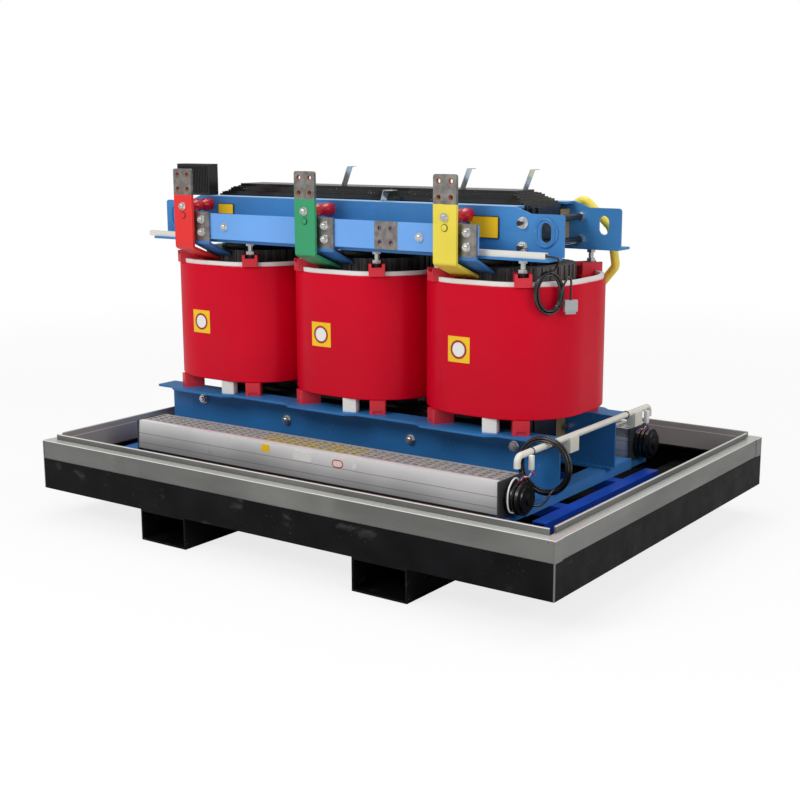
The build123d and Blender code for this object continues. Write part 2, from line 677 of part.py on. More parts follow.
def strip_outline(route, thickness):
    """Outline of a strip of constant thickness whose outer face follows a route of (y, z) points."""
    inner = []
    for index, point in enumerate(route):
        before = route[max(index - 1, 0)]
        after = route[min(index + 1, len(route) - 1)]
        normals = []
        for start, end in ((before, point), (point, after)):
            run = hypot(end[0] - start[0], end[1] - start[1])
            if run > 0:
                normals.append(((end[1] - start[1]) / run, -(end[0] - start[0]) / run))
        mean = (sum(n[0] for n in normals) / len(normals), sum(n[1] for n in normals) / len(normals))
        scale = thickness / (mean[0] ** 2 + mean[1] ** 2)
        inner.append((point[0] + mean[0] * scale, point[1] + mean[1] * scale))
    return list(route) + inner[::-1]


for x, colour in zip(phase_x, ("red", "green", "yellow")):
    save(low_voltage_bar(x + BAR_OFFSET), f"lv_bar_{colour}")

# Neutral bar with its own four hole pad, standing off in front of the clamp.
neutral_face = BAR_FACE - BAR_THICKNESS - 12 - NEUTRAL_THICKNESS
lead_half = LEAD_WIDTH / 2
neutral_left = phase_x[0] + LEAD_OFFSET - lead_half
neutral_right = phase_x[2] + LEAD_OFFSET + lead_half
neutral_mid_z = NEUTRAL_BOTTOM + NEUTRAL_HEIGHT / 2
with BuildPart() as neutral_bar:
    neutral_mid_x = (neutral_left + neutral_right) / 2
    with Locations((neutral_mid_x, -neutral_face + NEUTRAL_THICKNESS / 2, neutral_mid_z)):
        Box(neutral_right - neutral_left, NEUTRAL_THICKNESS, NEUTRAL_HEIGHT)
    face = Plane(origin=(0, -neutral_face, neutral_mid_z), x_dir=(1, 0, 0), z_dir=(0, -1, 0))
    with Locations(face):
        with Locations((NEUTRAL_PAD_X, 0)):
            with GridLocations(NEUTRAL_HOLE_D, NEUTRAL_HOLE_D, 2, 2):
                Hole(PAD_HOLE_RADIUS, depth=2 * NEUTRAL_THICKNESS)
        for x in phase_x:
            with Locations((x + LEAD_OFFSET + 5, 0)):
                with GridLocations(1, NEUTRAL_HOLE_D, 1, 2):
                    Hole(JACK_RADIUS - 1, depth=2 * NEUTRAL_THICKNESS)
save(neutral_bar, "neutral_bar")

with BuildPart() as neutral_leads:
    route = [
        (-LEAD_LANDING_Y, BAR_LANDING_Z + LEAD_OVER_BAR),
        (-neutral_face - NEUTRAL_THICKNESS, LEAD_BOTTOM),
        (-neutral_face - NEUTRAL_THICKNESS, LEAD_TOP),
    ]
    for x in phase_x:
        with BuildSketch(Plane.YZ.offset(x + LEAD_OFFSET - lead_half)):
            with BuildLine():
                Polyline(strip_outline(route, NEUTRAL_THICKNESS), close=True)
            make_face()
        extrude(amount=LEAD_WIDTH)
        bolt_row = (x + LEAD_OFFSET + 5, -neutral_face, neutral_mid_z)
        with Locations(Plane(origin=bolt_row, x_dir=(1, 0, 0), z_dir=(0, -1, 0))):
            with GridLocations(1, NEUTRAL_HOLE_D, 1, 2):
                Hole(JACK_RADIUS - 1, depth=4 * NEUTRAL_THICKNESS)
save(neutral_leads, "neutral_leads")

# Red standoff insulators between the upper clamp and the bars.
insulator_length = BAR_FACE - BAR_THICKNESS - CLAMP_FACE
NEUTRAL_STANDS = (-530.0, 272.0)
neutral_stand_length = neutral_face - NEUTRAL_THICKNESS - CLAMP_FACE
neutral_stand_z = neutral_mid_z


def insulator(length, radius):
    """A ribbed resin post along -Y, starting at Y = 0."""
    with BuildPart() as post:
        with BuildSketch(Plane.XY):
            with BuildLine():
                Polyline(
                    (0, 0),
                    (radius, 0),
                    (radius, -length * 0.22),
                    (radius * 0.72, -length * 0.34),
                    (radius, -length * 0.46),
                    (radius, -length * 0.60),
                    (radius * 0.72, -length * 0.72),
                    (radius, -length * 0.84),
                    (radius, -length),
                    (0, -length),
                    close=True,
                )
            make_face()
        revolve(axis=Axis.Y)
    return post.part


HV_POST_LENGTH = 64.0
hv_post_z = (upper_web_bottom + upper_web_top) / 2
with BuildPart() as standoff_insulators:
    with Locations([(x + BAR_OFFSET, -CLAMP_FACE, INSULATOR_Z) for x in phase_x]):
        add(insulator(insulator_length, INSULATOR_RADIUS))
    with Locations([(x, -CLAMP_FACE, neutral_stand_z) for x in NEUTRAL_STANDS]):
        add(insulator(neutral_stand_length, INSULATOR_RADIUS * 0.8))
    with Locations([Location((x, CLAMP_FACE, hv_post_z), (0, 0, 180)) for x in phase_x]):
        add(insulator(HV_POST_LENGTH, INSULATOR_RADIUS))
save(standoff_insulators, "standoff_insulators")


def bolt_head(radius, height, washer):
    """A hexagon head on a round washer, standing on Z = 0."""
    with BuildPart() as head:
        with BuildSketch(Plane.XY):
            Circle(radius * 1.25)
        extrude(amount=washer)
        with BuildSketch(Plane.XY.offset(washer)):
            RegularPolygon(radius, 6)
        extrude(amount=height)
        with BuildSketch(Plane.XY.offset(washer + height)):
            Circle(radius * 0.5)
        extrude(amount=height * 0.5)
    return head.part


FACING_FRONT = (90, 0, 0)
with BuildPart() as bar_bolts:
    places = [(x + BAR_OFFSET, -BAR_FACE, INSULATOR_Z) for x in phase_x]
    lead_face = neutral_face + NEUTRAL_THICKNESS
    for x in phase_x:
        for sign in (-1, 1):
            places.append((x + LEAD_OFFSET + 5, -lead_face, neutral_mid_z + sign * NEUTRAL_HOLE_D / 2))
    places += [(x, -neutral_face, neutral_stand_z) for x in NEUTRAL_STANDS]
    with Locations([Location(p, FACING_FRONT) for p in places]):
        add(bolt_head(11, 9, 3))

# ------------------------------------------------------------------ ties and bolts
with BuildPart() as tie_rods:
    for tie_z in TIE_Z:
        rod_plane = Plane(origin=(CENTRE_X, 0, tie_z), x_dir=(1, 0, 0), z_dir=(0, -1, 0))
        with BuildSketch(rod_plane):
            with GridLocations(2 * TIE_OFFSET, 1, 2, 1):
                Circle(TIE_RADIUS)
        extrude(amount=CLAMP_FACE + NUT_HEIGHT + 14, both=True)
        with BuildSketch(rod_plane):
            with GridLocations(2 * TIE_OFFSET, 1, 2, 1):
                Circle(TIE_SLEEVE)
        extrude(amount=CLAMP_FACE - CLAMP_WALL, both=True)
save(tie_rods, "tie_rods")


def ring_nut(bore):
    """A hexagon nut on a washer with a through bore, standing on Z = 0."""
    with BuildPart() as nut:
        with BuildSketch(Plane.XY):
            Circle(TIE_NUT_RADIUS * 1.2)
        extrude(amount=3)
        with BuildSketch(Plane.XY.offset(3)):
            RegularPolygon(TIE_NUT_RADIUS, 6)
        extrude(amount=NUT_HEIGHT)
        with Locations((0, 0, 0)):
            Cylinder(bore, 60, mode=Mode.SUBTRACT)
    return nut.part


with BuildPart() as tie_nuts:
    spots = []
    for tie_z in TIE_Z:
        for side in (-1, 1):
            for sign in (-1, 1):
                place = (CENTRE_X + sign * TIE_OFFSET, side * CLAMP_FACE, tie_z)
                spots.append(Location(place, (90 if side < 0 else -90, 0, 0)))
    with Locations(spots):
        add(ring_nut(TIE_RADIUS))

with BuildPart() as clamp_bolts:
    for bolt_z, offset in zip(CLAMP_BOLT_Z, CLAMP_BOLT_OFFSET):
        for side in (-1, 1):
            for sign in (-1, 1):
                place = (CENTRE_X + sign * offset, side * CLAMP_FACE, bolt_z)
                with Locations(Location(place, (90 if side < 0 else -90, 0, 0))):
                    add(bolt_head(14, 11, 4))
                    with Locations((0, 0, -20)):
                        Cylinder(TIE_RADIUS, 40)

with BuildPart() as fasteners:
    for group in (bar_bolts, tie_nuts, clamp_bolts):
        add(group.part)
save(fasteners, "fasteners")

# Short straps of galvanised strip that stand on the yoke and on the clamp.
STRAP_WIDTH = 30.0
STRAP_WALL = 2.0
STRAP_PLACES = ((-262.0, 0.0, upper_yoke_top), (219.0, 0.0, upper_yoke_top), (450.0, 0.0, upper_yoke_top))
with BuildPart() as cable_straps:
    for x, y, z in STRAP_PLACES:
        route = [(x, z), (x + 22, z), (x + 48, z + 62), (x + 62, z + 62)]
        with BuildSketch(Plane.XZ.offset(-y - STRAP_WIDTH / 2)):
            with BuildLine():
                Polyline(strip_outline(route, -STRAP_WALL), close=True)
            make_face()
        extrude(amount=STRAP_WIDTH)
    clip_y = -CLAMP_FACE + TOP_FLANGE * 0.5
    clip_top = upper_web_top + 34
    clip_route = [(20, upper_web_top), (42, upper_web_top), (52, clip_top), (88, clip_top)]
    with BuildSketch(Plane.XZ.offset(-clip_y - STRAP_WIDTH / 2)):
        with BuildLine():
            Polyline(strip_outline(clip_route, -STRAP_WALL), close=True)
        make_face()
    extrude(amount=STRAP_WIDTH)
save(cable_straps, "cable_straps")

# ------------------------------------------------------------------ ribbed black housing on the left
HOUSING_X = -774.0
HOUSING_WIDTH = 152.0
HOUSING_DEPTH = 46.0
HOUSING_HEIGHT = 108.0
HOUSING_BOTTOM = upper_web_top
with BuildPart() as ribbed_housing:
    housing_y = -CLAMP_FACE + TOP_FLANGE / 2
    with Locations((HOUSING_X, housing_y, HOUSING_BOTTOM + HOUSING_HEIGHT / 2)):
        Box(HOUSING_WIDTH, HOUSING_DEPTH, HOUSING_HEIGHT)
        with GridLocations(HOUSING_WIDTH / 20, HOUSING_DEPTH, 19, 2):
            Box(3, 6, HOUSING_HEIGHT - 16, mode=Mode.SUBTRACT)
save(ribbed_housing, "ribbed_housing")


# ------------------------------------------------------------------ fans
def fan_shell_points():
    """Outer points of the fan's folded shell in (depth from the front, height), open at the top."""
    return [
        (FAN_DEPTH, FAN_HEIGHT * 0.72),
        (FAN_DEPTH, 8),
        (FAN_DEPTH * 0.82, 0),
        (12, 0),
        (-5, 14),
        (-3, FAN_HEIGHT * 0.5),
        (0, FAN_HEIGHT),
        (16, FAN_HEIGHT),
    ]


def fan_shell():
    """Front fan's aluminium shell between its end plates."""
    route = [(-FAN_FRONT + depth, FAN_BOTTOM + height) for depth, height in fan_shell_points()]
    with BuildPart() as shell:
        with BuildSketch(Plane.YZ.offset(FAN_LEFT)):
            with BuildLine():
                Polyline(strip_outline(route, -FAN_WALL), close=True)
            make_face()
        extrude(amount=FAN_LENGTH)
    return shell.part


def fan_grille():
    """Front fan's top guard: a frame with a raised lattice of bars."""
    guard_start = 16.0
    guard_end = FAN_DEPTH
    mid_y = -FAN_FRONT + (guard_start + guard_end) / 2
    guard_z = FAN_BOTTOM + FAN_HEIGHT
    bars = 44
    with BuildPart() as guard:
        with Locations((FAN_LEFT + FAN_LENGTH / 2, mid_y, guard_z)):
            Box(FAN_LENGTH, guard_end - guard_start, 3)
            bar_step = FAN_LENGTH / bars
            row_step = (guard_end - guard_start) / 5
            with GridLocations(bar_step, row_step, bars, 4):
                Box(bar_step * 0.62, row_step * 0.62, 10, mode=Mode.SUBTRACT)
        lip_z = FAN_BOTTOM + FAN_HEIGHT * 0.86
        with Locations((FAN_LEFT + FAN_LENGTH / 2, -FAN_FRONT + FAN_DEPTH - 1.5, lip_z)):
            Box(FAN_LENGTH, 3, FAN_HEIGHT * 0.28)
    return guard.part


def turned(piece, name):
    """Write a front piece mirrored across the transformer's long axis as its rear twin."""
    with BuildPart() as rear:
        add(piece)
        mirror(about=Plane.XZ, mode=Mode.REPLACE)
    save(rear, name)


def plain(piece, name):
    """Write a finished shape under its name."""
    with BuildPart() as front:
        add(piece)
    save(front, name)


shell_part = fan_shell()
grille_part = fan_grille()
plain(shell_part, "fan_front_shell")
turned(shell_part, "fan_rear_shell")
plain(grille_part, "fan_front_grille")
turned(grille_part, "fan_rear_grille")

# End plates with feet; the shaft runs in their bores.
PLATE_OVER = 4.0
with BuildPart() as fan_end_plates:
    for side in (-1, 1):
        mid_y = side * (FAN_FRONT - FAN_DEPTH / 2)
        for x in (FAN_LEFT - FAN_END_WALL / 2, fan_right + FAN_END_WALL / 2):
            with Locations((x, mid_y, FAN_BOTTOM + FAN_HEIGHT / 2)):
                Box(FAN_END_WALL, FAN_DEPTH + 2 * PLATE_OVER + 6, FAN_HEIGHT + 2 * PLATE_OVER)
                with Locations(Location((0, 0, 0), (0, 90, 0))):
                    Cylinder(SHAFT_RADIUS + RUNNING_FIT, 4 * FAN_END_WALL, mode=Mode.SUBTRACT)
save(fan_end_plates, "fan_end_plates")

# Foot bars carry the fans' end plates from the ends of the base channels.
foot_bar_height = FAN_BOTTOM - PLATE_OVER - rail_top
base_left = CENTRE_X - BASE_CHANNEL_OFFSET - BASE_CHANNEL_WIDTH / 2
base_right = CENTRE_X + BASE_CHANNEL_OFFSET + BASE_CHANNEL_WIDTH / 2
with BuildPart() as fan_brackets:
    bar_start = BASE_CHANNEL_LENGTH / 2
    bar_reach = FAN_FRONT - 15 - bar_start
    for side in (-1, 1):
        bar_y = side * (bar_start + bar_reach / 2)
        left_span = (base_left, FAN_LEFT + 12)
        right_span = (base_right - BASE_CHANNEL_WIDTH, fan_right + 12)
        for low_x, high_x in (left_span, right_span):
            with Locations(((low_x + high_x) / 2, bar_y, rail_top + foot_bar_height / 2)):
                Box(high_x - low_x, bar_reach, foot_bar_height)
save(fan_brackets, "fan_brackets")


def fan_impeller():
    """Front fan's wheel: thin blades between discs on a shaft that runs into the motor."""
    wheel_run = FAN_LENGTH - 2 * IMPELLER_GAP
    middle = FAN_LEFT + FAN_LENGTH / 2
    with BuildPart() as wheel:
        with BuildSketch(Plane.YZ.offset(middle)):
            with Locations((-fan_axis_y, fan_axis_z)):
                with PolarLocations(IMPELLER_RADIUS - 6, BLADE_COUNT):
                    with Locations(Location((0, 0, 0), (0, 0, 35))):
                        Rectangle(12, 1.6)
        extrude(amount=wheel_run / 2, both=True)
        with BuildSketch(Plane.YZ.offset(middle)):
            with Locations((-fan_axis_y, fan_axis_z)):
                Circle(SHAFT_RADIUS)
        extrude(amount=FAN_LENGTH / 2 + FAN_END_WALL + 4, both=True)
        discs = 9
        for disc in range(discs):
            x = FAN_LEFT + IMPELLER_GAP + disc * (wheel_run - 3) / (discs - 1)
            with BuildSketch(Plane.YZ.offset(x)):
                with Locations((-fan_axis_y, fan_axis_z)):
                    Circle(IMPELLER_RADIUS)
            extrude(amount=3)
    return wheel.part


impeller_part = fan_impeller()
plain(impeller_part, "fan_front_impeller")
turned(impeller_part, "fan_rear_impeller")


def fan_motor():
    """Front fan's motor: finned drum with end bells, its bore around the shaft's end."""
    start = fan_right + FAN_END_WALL
    with BuildPart() as motor:
        axis = Plane.YZ.offset(start)
        with BuildSketch(axis):
            with Locations((-fan_axis_y, fan_axis_z)):
                Circle(MOTOR_RADIUS * 0.78)
        extrude(amount=MOTOR_LENGTH)
        for step in range(3):
            with BuildSketch(axis.offset(8 + step * 15)):
                with Locations((-fan_axis_y, fan_axis_z)):
                    Circle(MOTOR_RADIUS)
            extrude(amount=9)
        with BuildSketch(axis.offset(MOTOR_LENGTH)):
            with Locations((-fan_axis_y, fan_axis_z)):
                Circle(MOTOR_RADIUS * 0.3)
        extrude(amount=7)
        with BuildSketch(axis):
            with Locations((-fan_axis_y, fan_axis_z)):
                Circle(SHAFT_RADIUS + 1)
        extrude(amount=8, mode=Mode.SUBTRACT)
    return motor.part


motor_part = fan_motor()
plain(motor_part, "fan_front_motor")
turned(motor_part, "fan_rear_motor")

# ------------------------------------------------------------------ wiring duct, conduit, boxes
with BuildPart() as wiring_duct:
    run = DUCT_RUN[1] - DUCT_RUN[0]
    with Locations(((DUCT_RUN[0] + DUCT_RUN[1]) / 2, -DUCT_Y, upper_web_bottom + DUCT_SIDE / 2)):
        Box(run, DUCT_SIDE, DUCT_SIDE)
    with Locations((DUCT_RUN[1], -DUCT_Y, upper_web_bottom + DUCT_SIDE / 2)):
        Box(40, DUCT_SIDE - 6, DUCT_SIDE - 6, mode=Mode.SUBTRACT)
save(wiring_duct, "wiring_duct")

elbow_radius = CONDUIT_RADIUS * 1.4
with BuildPart() as lower_conduit:
    with BuildLine() as conduit_path:
        FilletPolyline(
            (conduit_x, CONDUIT_FRONT, CONDUIT_Z - 34),
            (conduit_x, CONDUIT_FRONT, CONDUIT_Z),
            (conduit_x, CONDUIT_REAR, CONDUIT_Z),
            (conduit_x, CONDUIT_REAR, CONDUIT_Z - 34),
            radius=elbow_radius * 1.3,
        )
    with BuildSketch(Plane(origin=(conduit_x, CONDUIT_FRONT, CONDUIT_Z - 34), z_dir=(0, 0, 1))):
        Circle(CONDUIT_RADIUS)
    sweep()
save(lower_conduit, "lower_conduit")

# Terminal boxes hang under the conduit, their tops cut to its round.
TERMINAL_BOX = (30.0, 54.0, 46.0)
TERMINAL_PLACES = (-138.0, 300.0)
with BuildPart() as terminal_boxes:
    for y in TERMINAL_PLACES:
        with Locations((conduit_x, y, CONDUIT_Z - TERMINAL_BOX[2] / 2)):
            Box(*TERMINAL_BOX)
    with Locations(Location((conduit_x, 0, CONDUIT_Z), (90, 0, 0))):
        Cylinder(CONDUIT_RADIUS, 2 * CONDUIT_REAR, mode=Mode.SUBTRACT)
save(terminal_boxes, "terminal_boxes")

# ------------------------------------------------------------------ high voltage side
STUD_RADIUS = 9.0
STUD_LENGTH = 24.0
panel_face = HV_DEPTH / 2 + PANEL_DEPTH
panel_mid = coil_bottom + HV_HEIGHT / 2
tap_rows = (-60, -20, 20, 60)
with BuildPart() as hv_terminals:
    for x in phase_x:
        for dz in tap_rows:
            with Locations(Location((x, panel_face, panel_mid + dz), (-90, 0, 0))):
                with GridLocations(56, 1, 2, 1):
                    Cylinder(STUD_RADIUS, STUD_LENGTH, align=(Align.CENTER, Align.CENTER, Align.MIN))
        for dz in (-130, 130):
            with Locations(Location((x, panel_face, panel_mid + dz), (-90, 0, 0))):
                Cylinder(STUD_RADIUS * 1.6, STUD_LENGTH, align=(Align.CENTER, Align.CENTER, Align.MIN))
        # one link plate joins two studs of the tapping panel
        with Locations((x, panel_face + STUD_LENGTH + 2.5, panel_mid + tap_rows[1])):
            Box(80, 5, 24)
save(hv_terminals, "hv_terminals")

HV_LEAD_RADIUS = 14.0
lead_y = CLAMP_FACE + HV_POST_LENGTH + HV_LEAD_RADIUS
stud_y = panel_face + STUD_LENGTH + HV_LEAD_RADIUS
HV_LEAD_BULGE = 190.0
HV_LEAD_CREST = 1088.0
with BuildPart() as hv_leads:
    for x in phase_x:
        with BuildLine():
            FilletPolyline(
                (x, stud_y, panel_mid + 130),
                (x + HV_LEAD_BULGE * 0.6, stud_y + 4, panel_mid + 134),
                (x + HV_LEAD_BULGE, stud_y - 6, panel_mid + 220),
                (x + HV_LEAD_BULGE, lead_y + 6, HV_LEAD_CREST - 90),
                (x + HV_LEAD_BULGE * 0.5, lead_y + 2, HV_LEAD_CREST),
                (x, lead_y, hv_post_z + 20),
                (x, lead_y, hv_post_z - 14),
                radius=26,
            )
        with BuildSketch(Plane(origin=(x, stud_y, panel_mid + 130), z_dir=(HV_LEAD_BULGE * 0.6, 4, 4))):
            Circle(HV_LEAD_RADIUS)
        sweep()
save(hv_leads, "hv_leads")


# ------------------------------------------------------------------ cables
def cord_tube(points, diameter, name):
    """A cord's plain tube: straight runs joined by tangent arcs as large as the runs allow."""
    corners = [Vector(*point) for point in points]
    radii = []
    for before, corner, after in zip(corners, corners[1:], corners[2:]):
        turn = radians((corner - before).get_angle(after - corner))
        radii.append(0.45 * min((corner - before).length, (after - corner).length) / tan(turn / 2))
    print(name, "radii", [round(radius, 1) for radius in radii])
    with BuildPart() as tube:
        with BuildLine() as path:
            FilletPolyline(*points, radius=radii)
        with BuildSketch(Plane(origin=points[0], z_dir=corners[1] - corners[0])):
            Circle(diameter / 2)
        sweep()
    length = sum(edge.length for edge in path.edges())
    filled = tube.part.volume / (length * pi * diameter**2 / 4)
    print(name, "length", round(length, 1), "volume ratio", round(filled, 4))
    save(tube, name)


SENSOR_DIAMETER = 7.0
SENSOR_ANGLE = -40.5
SENSOR_COIL = (50.0, 70.0)
SENSOR_BUNDLE = 13.0
SENSOR_COIL_Z = 836.0
sensor_radius = 302.0
coil_x = phase_x[2] + sensor_radius * cos(radians(SENSOR_ANGLE))
coil_y = sensor_radius * sin(radians(SENSOR_ANGLE))

# The hank of sensor cable hangs in a plane that is tangent to the coil behind it.
with BuildPart() as sensor_cable_coil:
    hank = Plane(
        origin=(coil_x, coil_y, SENSOR_COIL_Z),
        x_dir=(-sin(radians(SENSOR_ANGLE)), cos(radians(SENSOR_ANGLE)), 0),
        z_dir=(cos(radians(SENSOR_ANGLE)), sin(radians(SENSOR_ANGLE)), 0),
    )
    with BuildSketch(hank.offset(-SENSOR_BUNDLE)):
        Ellipse(*SENSOR_COIL)
        Ellipse(SENSOR_COIL[0] - 20, SENSOR_COIL[1] - 22, mode=Mode.SUBTRACT)
    extrude(amount=2 * SENSOR_BUNDLE)
save(sensor_cable_coil, "sensor_cable_coil")

hank_out = Vector(cos(radians(SENSOR_ANGLE)), sin(radians(SENSOR_ANGLE)), 0)
hank_side = Vector(-sin(radians(SENSOR_ANGLE)), cos(radians(SENSOR_ANGLE)), 0)
duct_mid_z = upper_web_bottom + DUCT_SIDE / 2
cord_tube(
    [
        (DUCT_RUN[1] - 19, -DUCT_Y, duct_mid_z),
        (DUCT_RUN[1] + 6, -DUCT_Y, duct_mid_z + 1),
        (DUCT_RUN[1] + 34, -DUCT_Y + 15, duct_mid_z - 6),
        (coil_x + 36, coil_y - 14, SENSOR_COIL_Z + SENSOR_COIL[1] + 20),
        (coil_x + 8, coil_y - 8, SENSOR_COIL_Z + SENSOR_COIL[1] + 1),
    ],
    SENSOR_DIAMETER,
    "sensor_cable_lead",
)

PLUG = (40.0, 15.0, 34.0)
plug_side = SENSOR_COIL[0] + 18
plug_top = SENSOR_COIL_Z - 22
plug_centre = Vector(coil_x, coil_y, plug_top - PLUG[2] / 2) + hank_side * plug_side
with BuildPart() as sensor_plug:
    with BuildSketch(Plane(origin=plug_centre, x_dir=hank_side, z_dir=hank_out).offset(-PLUG[1] / 2)):
        Rectangle(PLUG[0], PLUG[2])
    extrude(amount=PLUG[1])
    with BuildSketch(Plane(origin=plug_centre, x_dir=hank_side, z_dir=hank_out).offset(-PLUG[1] / 4)):
        with Locations((0, -PLUG[2] / 2 - 4)):
            Rectangle(PLUG[0] - 8, 8)
    extrude(amount=PLUG[1] / 2)
save(sensor_plug, "sensor_plug")

tail_start = Vector(coil_x, coil_y, SENSOR_COIL_Z + 34) + hank_side * (SENSOR_COIL[0] - 2) + hank_out * 5
tail_end = Vector(plug_centre.X, plug_centre.Y, plug_top)
tail_bend = tail_end + Vector(0, 0, 26)
tail_out = (tail_start + tail_bend) * 0.5 + hank_side * 9
cord_tube(
    [tuple(point) for point in (tail_start, tail_out, tail_bend, tail_end)],
    SENSOR_DIAMETER,
    "sensor_cable_tail",
)

FAN_CABLE_DIAMETER = 8.0
FAN_RING_RADIUS = 81.0
FAN_RING_BUNDLE = 11.0
FAN_RING_Y = -292.0
ring_z = CONDUIT_Z + CONDUIT_RADIUS + 0.3 - (FAN_RING_RADIUS - FAN_RING_BUNDLE)
with BuildPart() as fan_cable_coil:
    with Locations(Location((conduit_x, FAN_RING_Y, ring_z), (90, 0, 0))):
        Torus(FAN_RING_RADIUS, FAN_RING_BUNDLE)
save(fan_cable_coil, "fan_cable_coil")

motor_x = fan_right + FAN_END_WALL + MOTOR_LENGTH / 2
motor_low = (motor_x, -fan_axis_y + MOTOR_RADIUS * 0.80, fan_axis_z - MOTOR_RADIUS * 0.60)
cord_tube(
    [
        (conduit_x + 20, FAN_RING_Y - 12, ring_z - FAN_RING_RADIUS),
        (conduit_x + 24, FAN_RING_Y - 34, ring_z - FAN_RING_RADIUS - 16),
        (conduit_x + 14, motor_low[1] + 24, motor_low[2] - 8),
        motor_low,
    ],
    FAN_CABLE_DIAMETER,
    "fan_cable_lead",
)
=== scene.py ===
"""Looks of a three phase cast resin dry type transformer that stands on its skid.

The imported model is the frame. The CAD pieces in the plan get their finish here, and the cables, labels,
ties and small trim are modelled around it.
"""

import logging
import math
from dataclasses import dataclass, field
from enum import Enum

import bpy
from mathutils import Euler, Matrix, Vector

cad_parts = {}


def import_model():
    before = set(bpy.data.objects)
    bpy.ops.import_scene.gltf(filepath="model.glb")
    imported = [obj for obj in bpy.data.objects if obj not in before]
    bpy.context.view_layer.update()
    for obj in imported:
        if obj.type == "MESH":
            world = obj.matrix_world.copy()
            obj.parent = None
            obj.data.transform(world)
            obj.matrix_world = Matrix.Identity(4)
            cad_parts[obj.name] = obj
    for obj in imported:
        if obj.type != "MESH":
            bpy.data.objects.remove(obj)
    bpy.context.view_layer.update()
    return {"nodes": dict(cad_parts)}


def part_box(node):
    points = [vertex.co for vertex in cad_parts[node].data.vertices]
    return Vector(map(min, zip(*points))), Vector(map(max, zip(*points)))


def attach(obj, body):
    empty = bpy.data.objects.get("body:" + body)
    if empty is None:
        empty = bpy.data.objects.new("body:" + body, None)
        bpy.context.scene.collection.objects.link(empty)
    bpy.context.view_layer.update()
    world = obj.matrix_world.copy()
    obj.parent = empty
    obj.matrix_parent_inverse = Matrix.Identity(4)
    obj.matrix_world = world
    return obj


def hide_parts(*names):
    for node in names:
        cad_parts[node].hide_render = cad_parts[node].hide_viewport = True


logger = logging.getLogger("transformer")

Colour = tuple[float, float, float]
ROOT = "root"
SMOOTH_BELOW = math.radians(35)


class Phase(Enum):
    """The three phases: centre along the core and colour of the bar and lead."""

    RED = (-0.633, (0.74, 0.030, 0.028))
    GREEN = (-0.095, (0.040, 0.330, 0.145))
    YELLOW = (0.443, (0.80, 0.66, 0.070))

    @property
    def centre(self) -> float:
        """Return the phase's centre along X, in metres."""
        return self.value[0]

    @property
    def colour(self) -> Colour:
        """Return the phase's paint colour, linear."""
        return self.value[1]


# ------------------------------------------------------------------ shader maths


class Wire:
    """A shader socket that can be used in an arithmetic expression."""

    def __init__(self, shader: "Shader", socket: bpy.types.NodeSocket) -> None:
        """Wrap a socket of a shader."""
        self.shader = shader
        self.socket = socket

    def _math(self, operation: str, first: "Wire | float", second: "Wire | float") -> "Wire":
        """Add one Math node.

        Args:
            operation: The Math node's operation.
            first: Left operand.
            second: Right operand.

        Returns:
            The node's output.
        """
        return self.shader.node("ShaderNodeMath", {"operation": operation}, {0: first, 1: second})

    def __add__(self, other: "Wire | float") -> "Wire":
        """Return the sum."""
        return self._math("ADD", self, other)

    __radd__ = __add__

    def __sub__(self, other: "Wire | float") -> "Wire":
        """Return the difference."""
        return self._math("SUBTRACT", self, other)

    def __rsub__(self, other: "Wire | float") -> "Wire":
        """Return the difference the other way round."""
        return self._math("SUBTRACT", other, self)

    def __mul__(self, other: "Wire | float") -> "Wire":
        """Return the product."""
        return self._math("MULTIPLY", self, other)

    __rmul__ = __mul__

    def __pow__(self, other: "Wire | float") -> "Wire":
        """Return the power."""
        return self._math("POWER", self, other)

    def wave(self) -> "Wire":
        """Return the sine."""
        return self._math("SINE", self, 0.0)

    def size(self) -> "Wire":
        """Return the absolute value."""
        return self._math("ABSOLUTE", self, 0.0)

    def above(self, edge: float, soft: float) -> "Wire":
        """Return 0 below an edge and 1 above it.

        Args:
            edge: Where the step lies.
            soft: Half width of the step.

        Returns:
            The smooth step.
        """
        settings = {"interpolation_type": "SMOOTHSTEP", "clamp": True}
        values = {"Value": self, "From Min": edge - soft, "From Max": edge + soft}
        return self.shader.node("ShaderNodeMapRange", settings, values)


